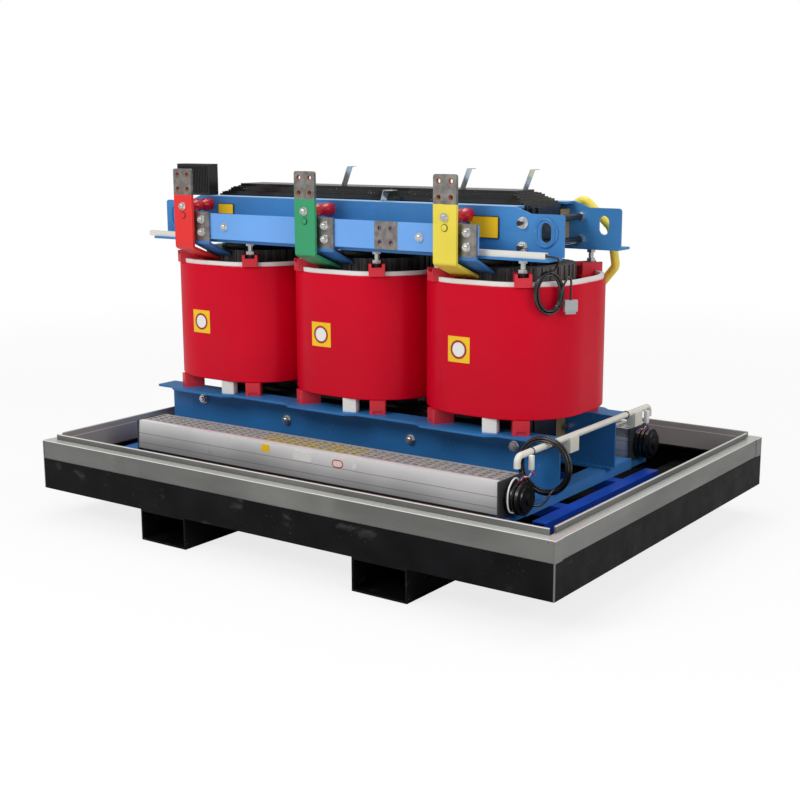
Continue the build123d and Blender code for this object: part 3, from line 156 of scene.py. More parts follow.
class Shader:
    """One material with a Principled surface, built node by node."""

    def __init__(self, name: str) -> None:
        """Make an empty node material of that name."""
        self.material = bpy.data.materials.new(name)
        self.material.use_nodes = True
        self.tree = self.material.node_tree
        self.tree.nodes.clear()
        self.surface = self.tree.nodes.new("ShaderNodeBsdfPrincipled")
        output = self.tree.nodes.new("ShaderNodeOutputMaterial")
        self.tree.links.new(self.surface.outputs[0], output.inputs["Surface"])
        coordinates = self.tree.nodes.new("ShaderNodeTexCoord")
        self.place = Wire(self, coordinates.outputs["Object"])

    def node(self, kind: str, settings: dict, sockets: dict, output: int | str = 0) -> Wire:
        """Add a node.

        Args:
            kind: Node type.
            settings: Properties of the node, or "stops" with a ramp's (position, colour) pairs.
            sockets: Values or wires of its inputs, by name or number.
            output: The output to return.

        Returns:
            The chosen output.
        """
        made = self.tree.nodes.new(kind)
        for key, value in settings.items():
            if key == "stops":
                ramp = made.color_ramp
                while len(ramp.elements) < len(value):
                    ramp.elements.new(0.5)
                for element, (position, colour) in zip(ramp.elements, value):
                    element.position = position
                    element.color = colour
            else:
                setattr(made, key, value)
        for key, value in sockets.items():
            self.feed(made.inputs[key], value)
        return Wire(self, made.outputs[output])

    def feed(self, socket: bpy.types.NodeSocket, value: object) -> None:
        """Link a wire to a socket, or set the socket's own value."""
        if isinstance(value, Wire):
            self.tree.links.new(value.socket, socket)
        else:
            socket.default_value = value

    def dress(self, **sockets: object) -> None:
        """Set the Principled surface's sockets, with underscores for the spaces in their names."""
        for key, value in sockets.items():
            if isinstance(value, tuple) and len(value) == 3:
                value = (*value, 1.0)
            self.feed(self.surface.inputs[key.replace("_", " ")], value)

    def noise(self, scale: float, detail: float = 3.0, stretch: Colour = (1, 1, 1)) -> Wire:
        """Return a noise pattern on the piece's own place.

        Args:
            scale: Features per metre.
            detail: Octaves.
            stretch: Factor along each axis.

        Returns:
            The pattern, from 0 to 1.
        """
        place = self.node("ShaderNodeMapping", {}, {"Vector": self.place, "Scale": stretch})
        return self.node("ShaderNodeTexNoise", {}, {"Vector": place, "Scale": scale, "Detail": detail})

    def axis(self, index: int) -> Wire:
        """Return one coordinate of the place, in metres: 0 for X, 1 for Y, 2 for Z."""
        return self.node("ShaderNodeSeparateXYZ", {}, {0: self.place}, index)

    def blend(self, mask: Wire, low: Wire | Colour, high: Wire | Colour) -> Wire:
        """Mix two colours.

        Args:
            mask: Share of the second colour.
            low: Colour where the mask is 0.
            high: Colour where the mask is 1.

        Returns:
            The mixed colour.
        """
        first = low if isinstance(low, Wire) else (*low, 1.0)
        second = high if isinstance(high, Wire) else (*high, 1.0)
        return self.node("ShaderNodeMix", {"data_type": "RGBA"}, {0: mask, 6: first, 7: second}, 2)

    def bump(self, height: Wire, strength: float, depth: float) -> None:
        """Raise the surface by a pattern.

        Args:
            height: Pattern from 0 to 1.
            strength: Share of the effect.
            depth: Height of the pattern in metres.
        """
        sockets = {"Height": height, "Strength": strength, "Distance": depth}
        self.dress(Normal=self.node("ShaderNodeBump", {}, sockets))


def corners(x: float, z: float, across: float, up: float) -> tuple[tuple[float, float], ...]:
    """Return the four places round a centre, at half distances across and up."""
    return tuple((x + sx * across, z + sz * up) for sx in (-1, 1) for sz in (-1, 1))


def round_trip(steps: int) -> list[tuple[float, float]]:
    """Return the cosine and sine at equal steps round a circle."""
    turns = [math.tau * step / steps for step in range(steps)]
    return [(math.cos(turn), math.sin(turn)) for turn in turns]


def shade(colour: Colour, factor: float) -> Colour:
    """Return a colour made darker or lighter by a factor."""
    return tuple(min(1.0, part * factor) for part in colour)


# ------------------------------------------------------------------ finishes


@dataclass(frozen=True)
class Finish:
    """A finish with drifting tone, fine grain and dust specks."""

    name: str
    colour: Colour
    rough: float = 0.4
    metal: float = 0.0
    coat: float = 0.0
    drift: float = 0.12
    drift_scale: float = 4.0
    stretch: Colour = (1.0, 1.0, 1.0)
    grain_scale: float = 260.0
    grain: float = 0.15
    grain_depth: float = 0.0004
    speck: float = 0.0
    speck_colour: Colour = (0.55, 0.53, 0.50)
    speck_scale: float = 170.0
    shine: float = 0.5

    def base(self, shader: Shader) -> Wire:
        """Return the colour over the surface before specks."""
        broad = shader.noise(self.drift_scale, 4.0, self.stretch)
        low, high = shade(self.colour, 1 - self.drift), shade(self.colour, 1 + self.drift)
        return shader.blend(broad.above(0.5, 0.2), low, high)

    def metalness(self, shader: Shader) -> Wire | float:
        """Return the metallic share."""
        return self.metal

    def height(self, shader: Shader, grain: Wire) -> Wire:
        """Return the height pattern that the grain gives."""
        return grain

    def make(self) -> bpy.types.Material:
        """Build the material.

        Returns:
            The finished material.
        """
        shader = Shader(self.name)
        colour = self.base(shader)
        grain = shader.noise(self.grain_scale, 2.0, self.stretch)
        smudge = shader.noise(self.drift_scale * 3.1, 5.0, self.stretch)
        roughness = smudge * 0.22 + grain * 0.10 + (self.rough - 0.16)
        if self.speck > 0:
            dots = shader.noise(self.speck_scale, 1.0).above(0.78 - self.speck * 0.1, 0.02)
            patches = shader.noise(5.3, 3.0).above(0.50, 0.14)
            mask = dots * patches * min(1.0, self.speck * 1.6)
            colour = shader.blend(mask, colour, self.speck_colour)
            roughness = roughness + mask * 0.3
        shader.dress(Base_Color=colour, Roughness=roughness, Metallic=self.metalness(shader))
        shader.dress(Coat_Weight=self.coat, Coat_Roughness=0.10, Specular_IOR_Level=self.shine)
        shader.bump(self.height(shader, grain), self.grain, self.grain_depth)
        return shader.material


@dataclass(frozen=True)
class BarFinish(Finish):
    """Paint on a flat bar with a bare tinned end and coppery edges round its holes."""

    bare_from: float = 1.093
    holes: tuple[tuple[float, float], ...] = ()
    hole_radius: float = 0.0072

    def bare(self, shader: Shader) -> Wire:
        """Return 1 where the bar is bare and tinned."""
        ragged = shader.noise(70.0, 2.0) * 0.004
        return (shader.axis(2) + ragged).above(self.bare_from + 0.002, 0.0006)

    def base(self, shader: Shader) -> Wire:
        """Return paint below and tinned metal above, with copper at the hole rims."""
        dull = shader.noise(38.0, 5.0).above(0.5, 0.2)
        tinned = shader.blend(dull, (0.20, 0.19, 0.18), (0.36, 0.34, 0.32))
        colour = shader.blend(self.bare(shader), super().base(shader), tinned)
        for x, z in self.holes:
            away = ((shader.axis(0) - x) ** 2.0 + (shader.axis(2) - z) ** 2.0) ** 0.5
            rim = 1 - away.above(self.hole_radius + 0.0022, 0.0008)
            colour = shader.blend(rim, colour, (0.42, 0.17, 0.09))
        return colour

    def metalness(self, shader: Shader) -> Wire:
        """Return metal on the bare end alone."""
        return self.bare(shader) * 0.85


@dataclass(frozen=True)
class PatchFinish(BarFinish):
    """Paint with one bare tinned patch between two places along the bar."""

    patch: tuple[float, float] = (0.10, 0.19)

    def bare(self, shader: Shader) -> Wire:
        """Return 1 inside the patch."""
        along = shader.axis(0) + shader.noise(60.0, 2.0) * 0.004
        return along.above(self.patch[0] + 0.002, 0.0006) * (1 - along.above(self.patch[1] + 0.002, 0.0006))


@dataclass(frozen=True)
class LeadFinish(Finish):
    """Insulated leads in the colours of their phases."""

    def base(self, shader: Shader) -> Wire:
        """Return the colour that belongs to the phase at this place along the core."""
        across = shader.axis(0)
        middle = (Phase.RED.centre + Phase.GREEN.centre) / 2
        right = (Phase.GREEN.centre + Phase.YELLOW.centre) / 2
        colour = shader.blend(across.above(middle, 0.001), Phase.RED.colour, Phase.GREEN.colour)
        return shader.blend(across.above(right, 0.001), colour, Phase.YELLOW.colour)


@dataclass(frozen=True)
class SheetStackFinish(Finish):
    """Varnished core steel with the edges of its sheets."""

    sheet: float = 0.0042

    def height(self, shader: Shader, grain: Wire) -> Wire:
        """Return fine ridges across the stack."""
        ridges = (shader.axis(1) * (math.tau / self.sheet)).wave() * 0.5 + 0.5
        return ridges * 0.8 + grain * 0.2


@dataclass(frozen=True)
class FoldedRimFinish(Finish):
    """Folded stainless sheet with polishing smears, painted highlight lines along the folds and a painted
    reflection on the inner faces.
    """

    folds: tuple[float, ...] = (0.2690, 0.2890)
    inner_reflection_colour: Colour = (0.40, 0.40, 0.39)
    inner_metal: float = 0.10

    def inside(self, shader: Shader) -> Wire:
        """Return 1 on the faces that look towards the middle of the base."""
        normal = shader.node("ShaderNodeTexCoord", {}, {}, "Normal")
        sockets = {0: shader.place, 1: normal}
        outward = shader.node("ShaderNodeVectorMath", {"operation": "DOT_PRODUCT"}, sockets, "Value")
        return 1 - outward.above(-0.3, 0.1)

    def metalness(self, shader: Shader) -> Wire:
        """Return less metal on the inner faces, which carry the painted reflection colour."""
        return self.metal - self.inside(shader) * (self.metal - self.inner_metal)

    def base(self, shader: Shader) -> Wire:
        """Return smeared metal with a painted reflection on the inner faces and a painted highlight line
        along each fold.
        """
        smear = shader.noise(5.0, 1.5, (1.0, 1.0, 0.5)).above(0.62, 0.06)
        colour = shader.blend(smear * 0.5, super().base(shader), shade(self.colour, 1.5))
        # Painted reflection: the inner faces are painted light grey in place of the bright surroundings that
        # they would reflect.
        colour = shader.blend(self.inside(shader), colour, self.inner_reflection_colour)
        # Painted highlight: a near-white line along each fold.
        for height in self.folds:
            line = 1 - (shader.axis(2) - height).size().above(0.0013, 0.0007)
            colour = shader.blend(line, colour, (0.80, 0.80, 0.77))
        return colour


@dataclass(frozen=True)
class WornBlackEdgeHighlightFinish(Finish):
    """Black paint with rubbed patches, and a painted highlight down the upright corner edges."""

    half_length: float = 1.000
    half_width: float = 0.723

    def base(self, shader: Shader) -> Wire:
        """Return black with lighter rubs and a painted highlight down the upright corners."""
        rub = shader.noise(9.0, 5.0, (1.0, 1.0, 2.0)).above(0.66, 0.05)
        streak = shader.noise(55.0, 3.0, (0.25, 0.25, 1.0)).above(0.50, 0.12)
        colour = shader.blend(rub * streak * 0.55, super().base(shader), (0.050, 0.050, 0.050))
        # Painted highlight: a light grey line down each upright corner edge, where light would catch the
        # edge.
        across = (shader.axis(0).size() - self.half_length) ** 2.0
        along = (shader.axis(1).size() - self.half_width) ** 2.0
        edge = 1 - ((across + along) ** 0.5 + rub * 0.002).above(0.0035, 0.0015)
        return shader.blend(edge * 0.8, colour, (0.22, 0.21, 0.20))


@dataclass(frozen=True)
class TopLitFinish(Finish):
    """Paint with a painted highlight: the upward flange is painted pale for the glare on its top."""

    pale_from: float = 1.0843
    pale: Colour = (0.34, 0.52, 0.76)

    def base(self, shader: Shader) -> Wire:
        """Return paint with the top painted pale as a highlight."""
        return shader.blend(shader.axis(2).above(self.pale_from, 0.0004), super().base(shader), self.pale)


@dataclass(frozen=True)
class ShellFinish(Finish):
    """Creased fan casing with two long seams, painted lighter at the top as painted light and darker towards
    the bottom as painted shade.
    """

    seams: tuple[float, ...] = (0.2810, 0.2480)
    bright_from: float = 0.325
    bright_soft: float = 0.055

    def height(self, shader: Shader, grain: Wire) -> Wire:
        """Return long ripples along the sheet and the fine grain."""
        ripples = shader.noise(9.0, 2.0, (0.5, 1.0, 6.0))
        return ripples * 0.85 + grain * 0.15

    def base(self, shader: Shader) -> Wire:
        """Return metal painted darker towards the bottom as painted shade and lighter above as painted light,
        with thin dark seams.
        """
        height = shader.axis(2)
        # Painted light and shade: above bright_from the casing is painted lighter and below it darker, for
        # how the light falls on it.
        patches = shader.noise(2.6, 2.0, (1.0, 0.2, 0.2)) * 0.10
        tone = (height + patches).above(self.bright_from, self.bright_soft)
        colour = shader.blend(tone, shade(self.colour, 0.50), shade(self.colour, 1.25))
        for seam in self.seams:
            line = 1 - (height - seam).size().above(0.0009, 0.0005)
            colour = shader.blend(line * 0.7, colour, shade(self.colour, 0.16))
        return colour


@dataclass(frozen=True)
class GuardFinish(Finish):
    """Galvanised wire guard with a spangled coat and one yellowed stretch."""

    stretch_from: float = -0.245
    stretch_to: float = 0.150
    front_edge: float = -0.375
    pitch: float = 0.0062

    def base(self, shader: Shader) -> Wire:
        """Return spangles, tinted yellow along one stretch of the front guard."""
        along = shader.axis(0)
        inside = along.above(self.stretch_from, 0.006) * (1 - along.above(self.stretch_to, 0.006))
        front = 1 - shader.axis(1).above(self.front_edge, 0.004)
        patchy = shader.noise(26.0, 3.0).above(0.42, 0.12)
        rate = math.tau / self.pitch
        weave = (along * rate).wave() * (shader.axis(1) * rate).wave()
        spangled = shader.blend((weave + 1) * 0.5, shade(self.colour, 0.55), super().base(shader))
        return shader.blend(inside * front * patchy * 0.75, spangled, (0.52, 0.44, 0.12))


@dataclass(frozen=True)
class GrooveFinish(Finish):
    """Dark cast coil with vertical duct lines round it."""

    lines: float = 150.0

    def base(self, shader: Shader) -> Wire:
        """Return grey streaks that run up the coil."""
        streaks = shader.noise(self.lines, 2.0, (1.0, 1.0, 0.02))
        return shader.blend(streaks.above(0.52, 0.1), shade(self.colour, 0.45), shade(self.colour, 1.5))


class Finishes:
    """Every finish on the transformer, made once each."""

    def __init__(self) -> None:
        """Build the materials by name."""
        pads = {phase: corners(phase.centre - 0.060, 1.137, 0.022, 0.024) for phase in Phase}
        neutral = corners(0.142, 0.989, 0.0215, 0.0215)
        listed = [
            WornBlackEdgeHighlightFinish("skid_black", (0.0040, 0.0042, 0.0048), 0.50, drift=0.5, drift_scale=7.0,
                            speck=0.5, speck_colour=(0.08, 0.08, 0.08), speck_scale=130.0, grain=0.12,
                            shine=0.07),
            FoldedRimFinish("rim_stainless", (0.128, 0.130, 0.122), 0.32, metal=0.50, drift=0.22,
                            drift_scale=3.0, stretch=(0.6, 0.6, 2.0), grain=0.02,
                            grain_depth=0.00005),
            Finish("royal_blue", (0.010, 0.068, 0.50), 0.36, coat=0.15, drift=0.18, speck=0.3, shine=0.3),
            Finish("clamp_blue", (0.026, 0.165, 0.430), 0.42, drift=0.12, speck=0.3, shine=0.3),
            TopLitFinish("upper_clamp_blue", (0.045, 0.215, 0.510), 0.40, drift=0.12, speck=0.25,
                         shine=0.35),
            Finish("channel_blue", (0.060, 0.230, 0.560), 0.42, drift=0.12, speck=0.3, shine=0.3),
            PatchFinish("neutral_blue", (0.150, 0.370, 0.800), 0.40, drift=0.06, holes=neutral, shine=0.35),
            BarFinish("lead_plate", (0.035, 0.180, 0.480), 0.38, drift=0.1, bare_from=0.938),
            Finish("coil_red", (0.615, 0.0000, 0.0175), 0.42, coat=0.06, drift=0.07, drift_scale=2.2,
                   grain_scale=60.0, grain=0.05, grain_depth=0.0012, shine=0.10),
            Finish("block_red", (0.640, 0.028, 0.046), 0.42, drift=0.10, shine=0.3),
            Finish("insulator_red", (0.520, 0.004, 0.014), 0.16, coat=0.5, drift=0.08),
            Finish("spacer_white", (0.74, 0.73, 0.70), 0.5, drift=0.06),
            SheetStackFinish("core_black", (0.008, 0.008, 0.009), 0.24, coat=0.45, drift=0.4, grain=0.55,
                             grain_depth=0.0012, speck=0.35, speck_colour=(0.5, 0.5, 0.5)),
            GrooveFinish("lv_coil_grey", (0.085, 0.085, 0.083), 0.50, drift=0.3),
            Finish("board_tan", (0.30, 0.23, 0.12), 0.55, drift=0.2),
            Finish("bolt_zinc", (0.74, 0.74, 0.72), 0.24, metal=0.85, drift=0.12, drift_scale=60.0,
                   grain=0.02),
            Finish("rubber_black", (0.012, 0.012, 0.012), 0.62, drift=0.2, shine=0.3),
            ShellFinish("fan_aluminium", (0.80, 0.81, 0.83), 0.32, metal=0.35, drift=0.10, grain=0.10,
                        grain_depth=0.0006),
            GuardFinish("guard_galvanised", (0.52, 0.52, 0.51), 0.46, metal=0.15, drift=0.30,
                        drift_scale=120.0, grain_scale=400.0, grain=0.05, speck=0.6,
                        speck_colour=(0.8, 0.8, 0.78)),
            Finish("impeller_aluminium", (0.60, 0.61, 0.62), 0.38, metal=1.0, drift=0.1),
            Finish("end_plate_dark", (0.045, 0.047, 0.052), 0.40, drift=0.25, speck=0.4),
            Finish("motor_black", (0.010, 0.010, 0.011), 0.28, coat=0.3, drift=0.3),
            Finish("trunking_cream", (0.74, 0.72, 0.65), 0.42, drift=0.06),
            Finish("stud_copper", (0.68, 0.38, 0.16), 0.30, metal=1.0, drift=0.2, drift_scale=20.0),
            LeadFinish("lead_sleeve", (0.8, 0.7, 0.1), 0.42),
            Finish("cable_black", (0.010, 0.010, 0.011), 0.26, coat=0.3, drift=0.2, drift_scale=20.0),
            Finish("plug_grey", (0.36, 0.37, 0.39), 0.40, drift=0.08),
            Finish("tie_black", (0.010, 0.010, 0.010), 0.40, coat=0.2),
            Finish("sign_yellow", (0.90, 0.56, 0.015), 0.40, drift=0.05, shine=0.3),
            Finish("sign_border", (0.030, 0.025, 0.012), 0.40, drift=0.05),
            Finish("disc_white", (0.80, 0.80, 0.78), 0.40, drift=0.03),
            Finish("ring_dark_red", (0.380, 0.010, 0.014), 0.40, drift=0.05),
            Finish("sticker_white", (0.78, 0.78, 0.76), 0.45, drift=0.05, speck=0.2,
                   speck_colour=(0.3, 0.3, 0.3)),
            Finish("sticker_red", (0.70, 0.06, 0.04), 0.40, drift=0.08),
            Finish("wire_red", (0.62, 0.02, 0.02), 0.35),
            Finish("wire_blue", (0.02, 0.10, 0.50), 0.35),
            Finish("sleeve_white", (0.80, 0.80, 0.78), 0.38, drift=0.04),
        ]
        for phase in Phase:
            name = f"bar_{phase.name.lower()}"
            listed.append(BarFinish(name, phase.colour, 0.40, drift=0.06, speck=0.2, shine=0.3,
                                    holes=pads[phase]))
        self.by_name = {finish.name: finish.make() for finish in listed}

    def give(self, piece: bpy.types.Object, name: str) -> None:
        """Put one finish on the whole of a piece."""
        piece.data.materials.clear()
        piece.data.materials.append(self.by_name[name])

    def complete(self, piece: bpy.types.Object, name: str, finish: str) -> None:
        """Give a piece its finish and settle it under its name."""
        self.give(piece, finish)
        Bench.settle(piece, name)


# ------------------------------------------------------------------ modelling


class Bench:
    """Adds, shapes and finishes pieces with operators."""

    @staticmethod
    def clear() -> None:
        """Leave edit mode and select nothing."""
        if bpy.context.object and bpy.context.object.mode != "OBJECT":
            bpy.ops.object.mode_set(mode="OBJECT")
        bpy.ops.object.select_all(action="DESELECT")

    @staticmethod
    def pick(piece: bpy.types.Object) -> None:
        """Select one piece and make it active."""
        Bench.clear()
        piece.select_set(True)
        bpy.context.view_layer.objects.active = piece

    @staticmethod
    def modify(piece: bpy.types.Object, kind: str, **settings: object) -> None:
        """Add a modifier with its settings and apply it."""
        Bench.pick(piece)
        modifier = piece.modifiers.new(kind.title(), kind)
        for key, value in settings.items():
            setattr(modifier, key, value)
        bpy.ops.object.modifier_apply(modifier=modifier.name)

    @staticmethod
    def settle(piece: bpy.types.Object, name: str, body: str = ROOT) -> bpy.types.Object:
        """Name a piece, put its place into its mesh, smooth it and let it ride.

        Args:
            piece: The piece.
            name: Its name.
            body: The body that it moves with.

        Returns:
            The piece.
        """
        Bench.pick(piece)
        if piece.type != "MESH":
            bpy.ops.object.convert(target="MESH")
            piece = bpy.context.object
        bpy.ops.object.transform_apply(location=True, rotation=True, scale=True)
        bpy.ops.object.shade_smooth_by_angle(angle=SMOOTH_BELOW)
        piece.name = name
        Bench.clear()
        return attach(piece, body)

    @staticmethod
    def plate(centre: Vector, size: Colour, turn: Matrix, corner: float) -> bpy.types.Object:
        """Model a thin plate with round corners.

        Args:
            centre: Middle of the plate.
            size: Width, height and thickness.
            turn: Rotation whose Z axis is the plate's normal.
            corner: Corner radius.

        Returns:
            The plate.
        """
        Bench.clear()
        bpy.ops.mesh.primitive_cube_add(size=1.0)
        piece = bpy.context.object
        piece.scale = size
        bpy.ops.object.transform_apply(location=False, rotation=False, scale=True)
        bpy.ops.object.mode_set(mode="EDIT")
        bpy.ops.mesh.select_all(action="DESELECT")
        bpy.ops.object.mode_set(mode="OBJECT")
        for edge in piece.data.edges:
            ends = [piece.data.vertices[index].co for index in edge.vertices]
            edge.select = abs(ends[0].z - ends[1].z) > size[2] / 2
        bpy.ops.object.mode_set(mode="EDIT")
        bpy.ops.mesh.select_mode(type="EDGE")
        bpy.ops.mesh.bevel(offset=corner, segments=5)
        bpy.ops.object.mode_set(mode="OBJECT")
        piece.matrix_world = Matrix.Translation(centre) @ turn.to_4x4()
        return piece

    @staticmethod
    def tube(name: str, points: list[Vector], diameter: float, closed: bool = False) -> bpy.types.Object:
        """Model a round cable or wire on a smooth spline.

        Args:
            name: Name of the piece.
            points: Control points of the route.
            diameter: Diameter of the cable.
            closed: Whether the route joins its own start.

        Returns:
            The curve object.
        """
        curve = bpy.data.curves.new(name, "CURVE")
        curve.dimensions = "3D"
        curve.bevel_depth = diameter / 2
        curve.bevel_resolution = 3
        curve.resolution_u = 5
        curve.use_fill_caps = True
        spline = curve.splines.new("NURBS")
        spline.points.add(len(points) - 1)
        for target, point in zip(spline.points, points):
            target.co = (*point, 1.0)
        spline.order_u = 3
        spline.use_endpoint_u = not closed
        spline.use_cyclic_u = closed
        piece = bpy.data.objects.new(name, curve)
        bpy.context.scene.collection.objects.link(piece)
        return piece


def facing(normal: Vector, up: Vector = Vector((0, 0, 1))) -> Matrix:
    """Return the rotation whose Z axis is a normal and whose Y axis is nearest to up."""
    depth = normal.normalized()
    across = up.cross(depth).normalized()
    return Matrix((across, depth.cross(across), depth)).transposed()


# ------------------------------------------------------------------ sub-assemblies


@dataclass
class Dressing:
    """Gives the CAD pieces in the plan their finish; the plan holds the pieces of each finish."""

    finishes: Finishes
    plan: dict[str, str] = field(default_factory=lambda: {
        "skid_black": "skid_long_channels skid_end_channels skid_cross_members fork_pockets",
        "rim_stainless": "rim_long_rails rim_end_rails rim_corner_caps",
        "royal_blue": "subframe_rails subframe_end_beams",
        "channel_blue": "base_channels",
        "rubber_black": "rubber_strips rubber_pads",
        "clamp_blue": "lower_clamp_front lower_clamp_rear fan_brackets",
        "upper_clamp_blue": "upper_clamp_front upper_clamp_rear",
        "board_tan": "clamp_boards",
        "core_black": "core core_top_yoke",
        "lv_coil_grey": "lv_coil_a lv_coil_b lv_coil_c",
        "coil_red": "hv_coil_a hv_coil_b hv_coil_c",
        "block_red": "coil_feet top_blocks",
        "spacer_white": "coil_spacers",
        "bolt_zinc": "jack_bolts fasteners cable_straps",
        "bar_red": "lv_bar_red",
        "bar_green": "lv_bar_green",
        "bar_yellow": "lv_bar_yellow",
        "neutral_blue": "neutral_bar",
        "lead_plate": "neutral_leads",
        "insulator_red": "standoff_insulators",
        "motor_black": "tie_rods ribbed_housing fan_front_motor fan_rear_motor",
        "fan_aluminium": "fan_front_shell fan_rear_shell",
        "guard_galvanised": "fan_front_grille fan_rear_grille",
        "end_plate_dark": "fan_end_plates",
        "impeller_aluminium": "fan_front_impeller fan_rear_impeller",
        "trunking_cream": "wiring_duct lower_conduit terminal_boxes",
        "stud_copper": "hv_terminals",
        "lead_sleeve": "hv_leads",
        "plug_grey": "sensor_plug",
    })

    def build(self, nodes: dict[str, bpy.types.Object]) -> None:
        """Dress the nodes of the frame that have a finish in the plan."""
        for finish, names in self.plan.items():
            for name in names.split():
                self.finishes.give(nodes[name], finish)
            logger.info("%s on %s", finish, names)


@dataclass
class CoilSigns:
    """Square signs that wrap round the front of each high voltage coil."""

    finishes: Finishes
    side: float = 0.080
    thickness: float = 0.0008
    offset: float = -0.044
    middle: float = 0.652
    half_width: float = 0.264
    half_depth: float = 0.262
    corner: float = 0.215

    def wrap(self, run: float, lift: float) -> tuple[float, float]:
        """Return a point on the coil's outline.

        Args:
            run: Distance from the middle of the front face, along the outline.
            lift: Height above the resin.

        Returns:
            X from the coil's centre, and Y.
        """
        flat = self.half_width - self.corner
        if abs(run) <= flat:
            return run, -self.half_depth - lift
        turn = (abs(run) - flat) / self.corner
        reach = self.corner + lift
        x = flat + reach * math.sin(turn)
        y = -(self.half_depth - self.corner) - reach * math.cos(turn)
        return math.copysign(x, run), y

    def bend(self, piece: bpy.types.Object, centre: float) -> None:
        """Wrap a flat piece, drawn in run and height with its depth as lift, onto a coil."""
        for vertex in piece.data.vertices:
            x, y = self.wrap(vertex.co.x, vertex.co.z)
            vertex.co = (centre + x, y, vertex.co.y)
        piece.data.update()
        Bench.pick(piece)
        bpy.ops.object.mode_set(mode="EDIT")
        bpy.ops.mesh.select_all(action="SELECT")
        bpy.ops.mesh.normals_make_consistent(inside=False)
        bpy.ops.object.mode_set(mode="OBJECT")

    def square(self, centre: float) -> bpy.types.Object:
        """Model the yellow square of one coil."""
        Bench.clear()
        bpy.ops.mesh.primitive_grid_add(x_subdivisions=14, y_subdivisions=2, size=self.side)
        piece = bpy.context.object
        piece.location = (self.offset, self.middle, 0.0004)
        bpy.ops.object.transform_apply(location=True)
        Bench.modify(piece, "SOLIDIFY", thickness=self.thickness, offset=1.0)
        self.bend(piece, centre)
        return piece

    def disc(self, centre: float, inner: float, outer: float, lift: float) -> bpy.types.Object:
        """Model a flat ring or disc on the square of one coil."""
        Bench.clear()
        bpy.ops.mesh.primitive_circle_add(vertices=40, radius=outer, fill_type="NGON")
        piece = bpy.context.object
        bpy.ops.object.mode_set(mode="EDIT")
        bpy.ops.mesh.select_all(action="SELECT")
        bpy.ops.mesh.inset(thickness=outer - max(inner, outer * 0.35))
        if inner > 0:
            bpy.ops.mesh.delete(type="ONLY_FACE")
        bpy.ops.object.mode_set(mode="OBJECT")
        piece.location = (self.offset, self.middle, lift)
        bpy.ops.object.transform_apply(location=True)
        Bench.modify(piece, "SOLIDIFY", thickness=0.0004, offset=1.0)
        self.bend(piece, centre)
        return piece

    def build(self) -> None:
        """Put a sign on each coil."""
        for phase in Phase:
            word = phase.name.lower()
            lift = self.thickness + 0.0005
            parts = [
                (self.square(phase.centre), "coil_sign", "sign_yellow"),
                (self.disc(phase.centre, 0.0, 0.0285, lift), "coil_sign_disc", "disc_white"),
                (self.disc(phase.centre, 0.0225, 0.0290, lift + 0.0005), "coil_sign_ring", "ring_dark_red"),
            ]
            for piece, name, finish in parts:
                self.finishes.complete(piece, f"{name}_{word}", finish)
            logger.info("sign on %s coil", word)


@dataclass
class Plates:
    """Small plain plates and stickers on the clamp and the fan shell."""

    finishes: Finishes
    web_y: float = -0.1910
    sticker_thickness: float = 0.0006

    def add(self, name: str, centre: Vector, size: Colour, normal: Vector, corner: float,
            finish: str) -> None:
        """Add one plate.

        Args:
            name: Name of the plate.
            centre: Its middle.
            size: Width, height and thickness.
            normal: The direction that it faces.
            corner: Corner radius.
            finish: Name of its finish.
        """
        self.finishes.complete(Bench.plate(centre, size, facing(normal), corner), name, finish)
        logger.info("plate %s", name)

    def clamp_signs(self) -> None:
        """Add the two bordered yellow plates on the upper clamp."""
        front = Vector((0, -1, 0))
        signs = [("right", 0.441, 1.021, 0.100, 0.062), ("left", -0.612, 1.042, 0.066, 0.032)]
        for side, x, z, width, height in signs:
            edge = (width + 0.004, height + 0.004, 0.0010)
            back = Vector((x, self.web_y, z))
            self.add(f"clamp_sign_border_{side}", back, edge, front, 0.004, "sign_border")
            face = Vector((x, self.web_y - 0.0007, z))
            self.add(f"clamp_sign_{side}", face, (width, height, 0.0012), front, 0.003, "sign_yellow")

    def shell_stickers(self, shell: bpy.types.Object) -> None:
        """Add blank stickers on the fan's casing, seated on its sloping face."""
        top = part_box("fan_front_shell")[1].z
        stickers = [
            ("warning", -0.198, 0.020, 0.034, 0.024, 0.0030, "sign_yellow"),
            ("data", -0.045, 0.026, 0.074, 0.030, 0.0020, "sticker_white"),
            ("oval", 0.098, 0.030, 0.044, 0.026, 0.0129, "sticker_red"),
            ("oval_middle", 0.098, 0.030, 0.036, 0.018, 0.0089, "sticker_white"),
            ("round", 0.162, 0.030, 0.017, 0.017, 0.0084, "sticker_white"),
        ]
        for index, (name, x, drop, width, height, corner, finish) in enumerate(stickers):
            start = Vector((x, -1.2, top - drop))
            found, place, normal, _ = shell.ray_cast(start, Vector((0, 1, 0)))
            if not found:
                raise ValueError(f"no casing behind the {name} sticker")
            lift = self.sticker_thickness * (1.0 if name == "oval_middle" else 0.5)
            size = (width, height, self.sticker_thickness)
            self.add(f"shell_sticker_{index}", place + normal * lift, size, normal, corner, finish)

    def build(self, shell: bpy.types.Object) -> None:
        """Add every plate.

        Args:
            shell: The front fan's casing.
        """
        self.clamp_signs()
        self.shell_stickers(shell)


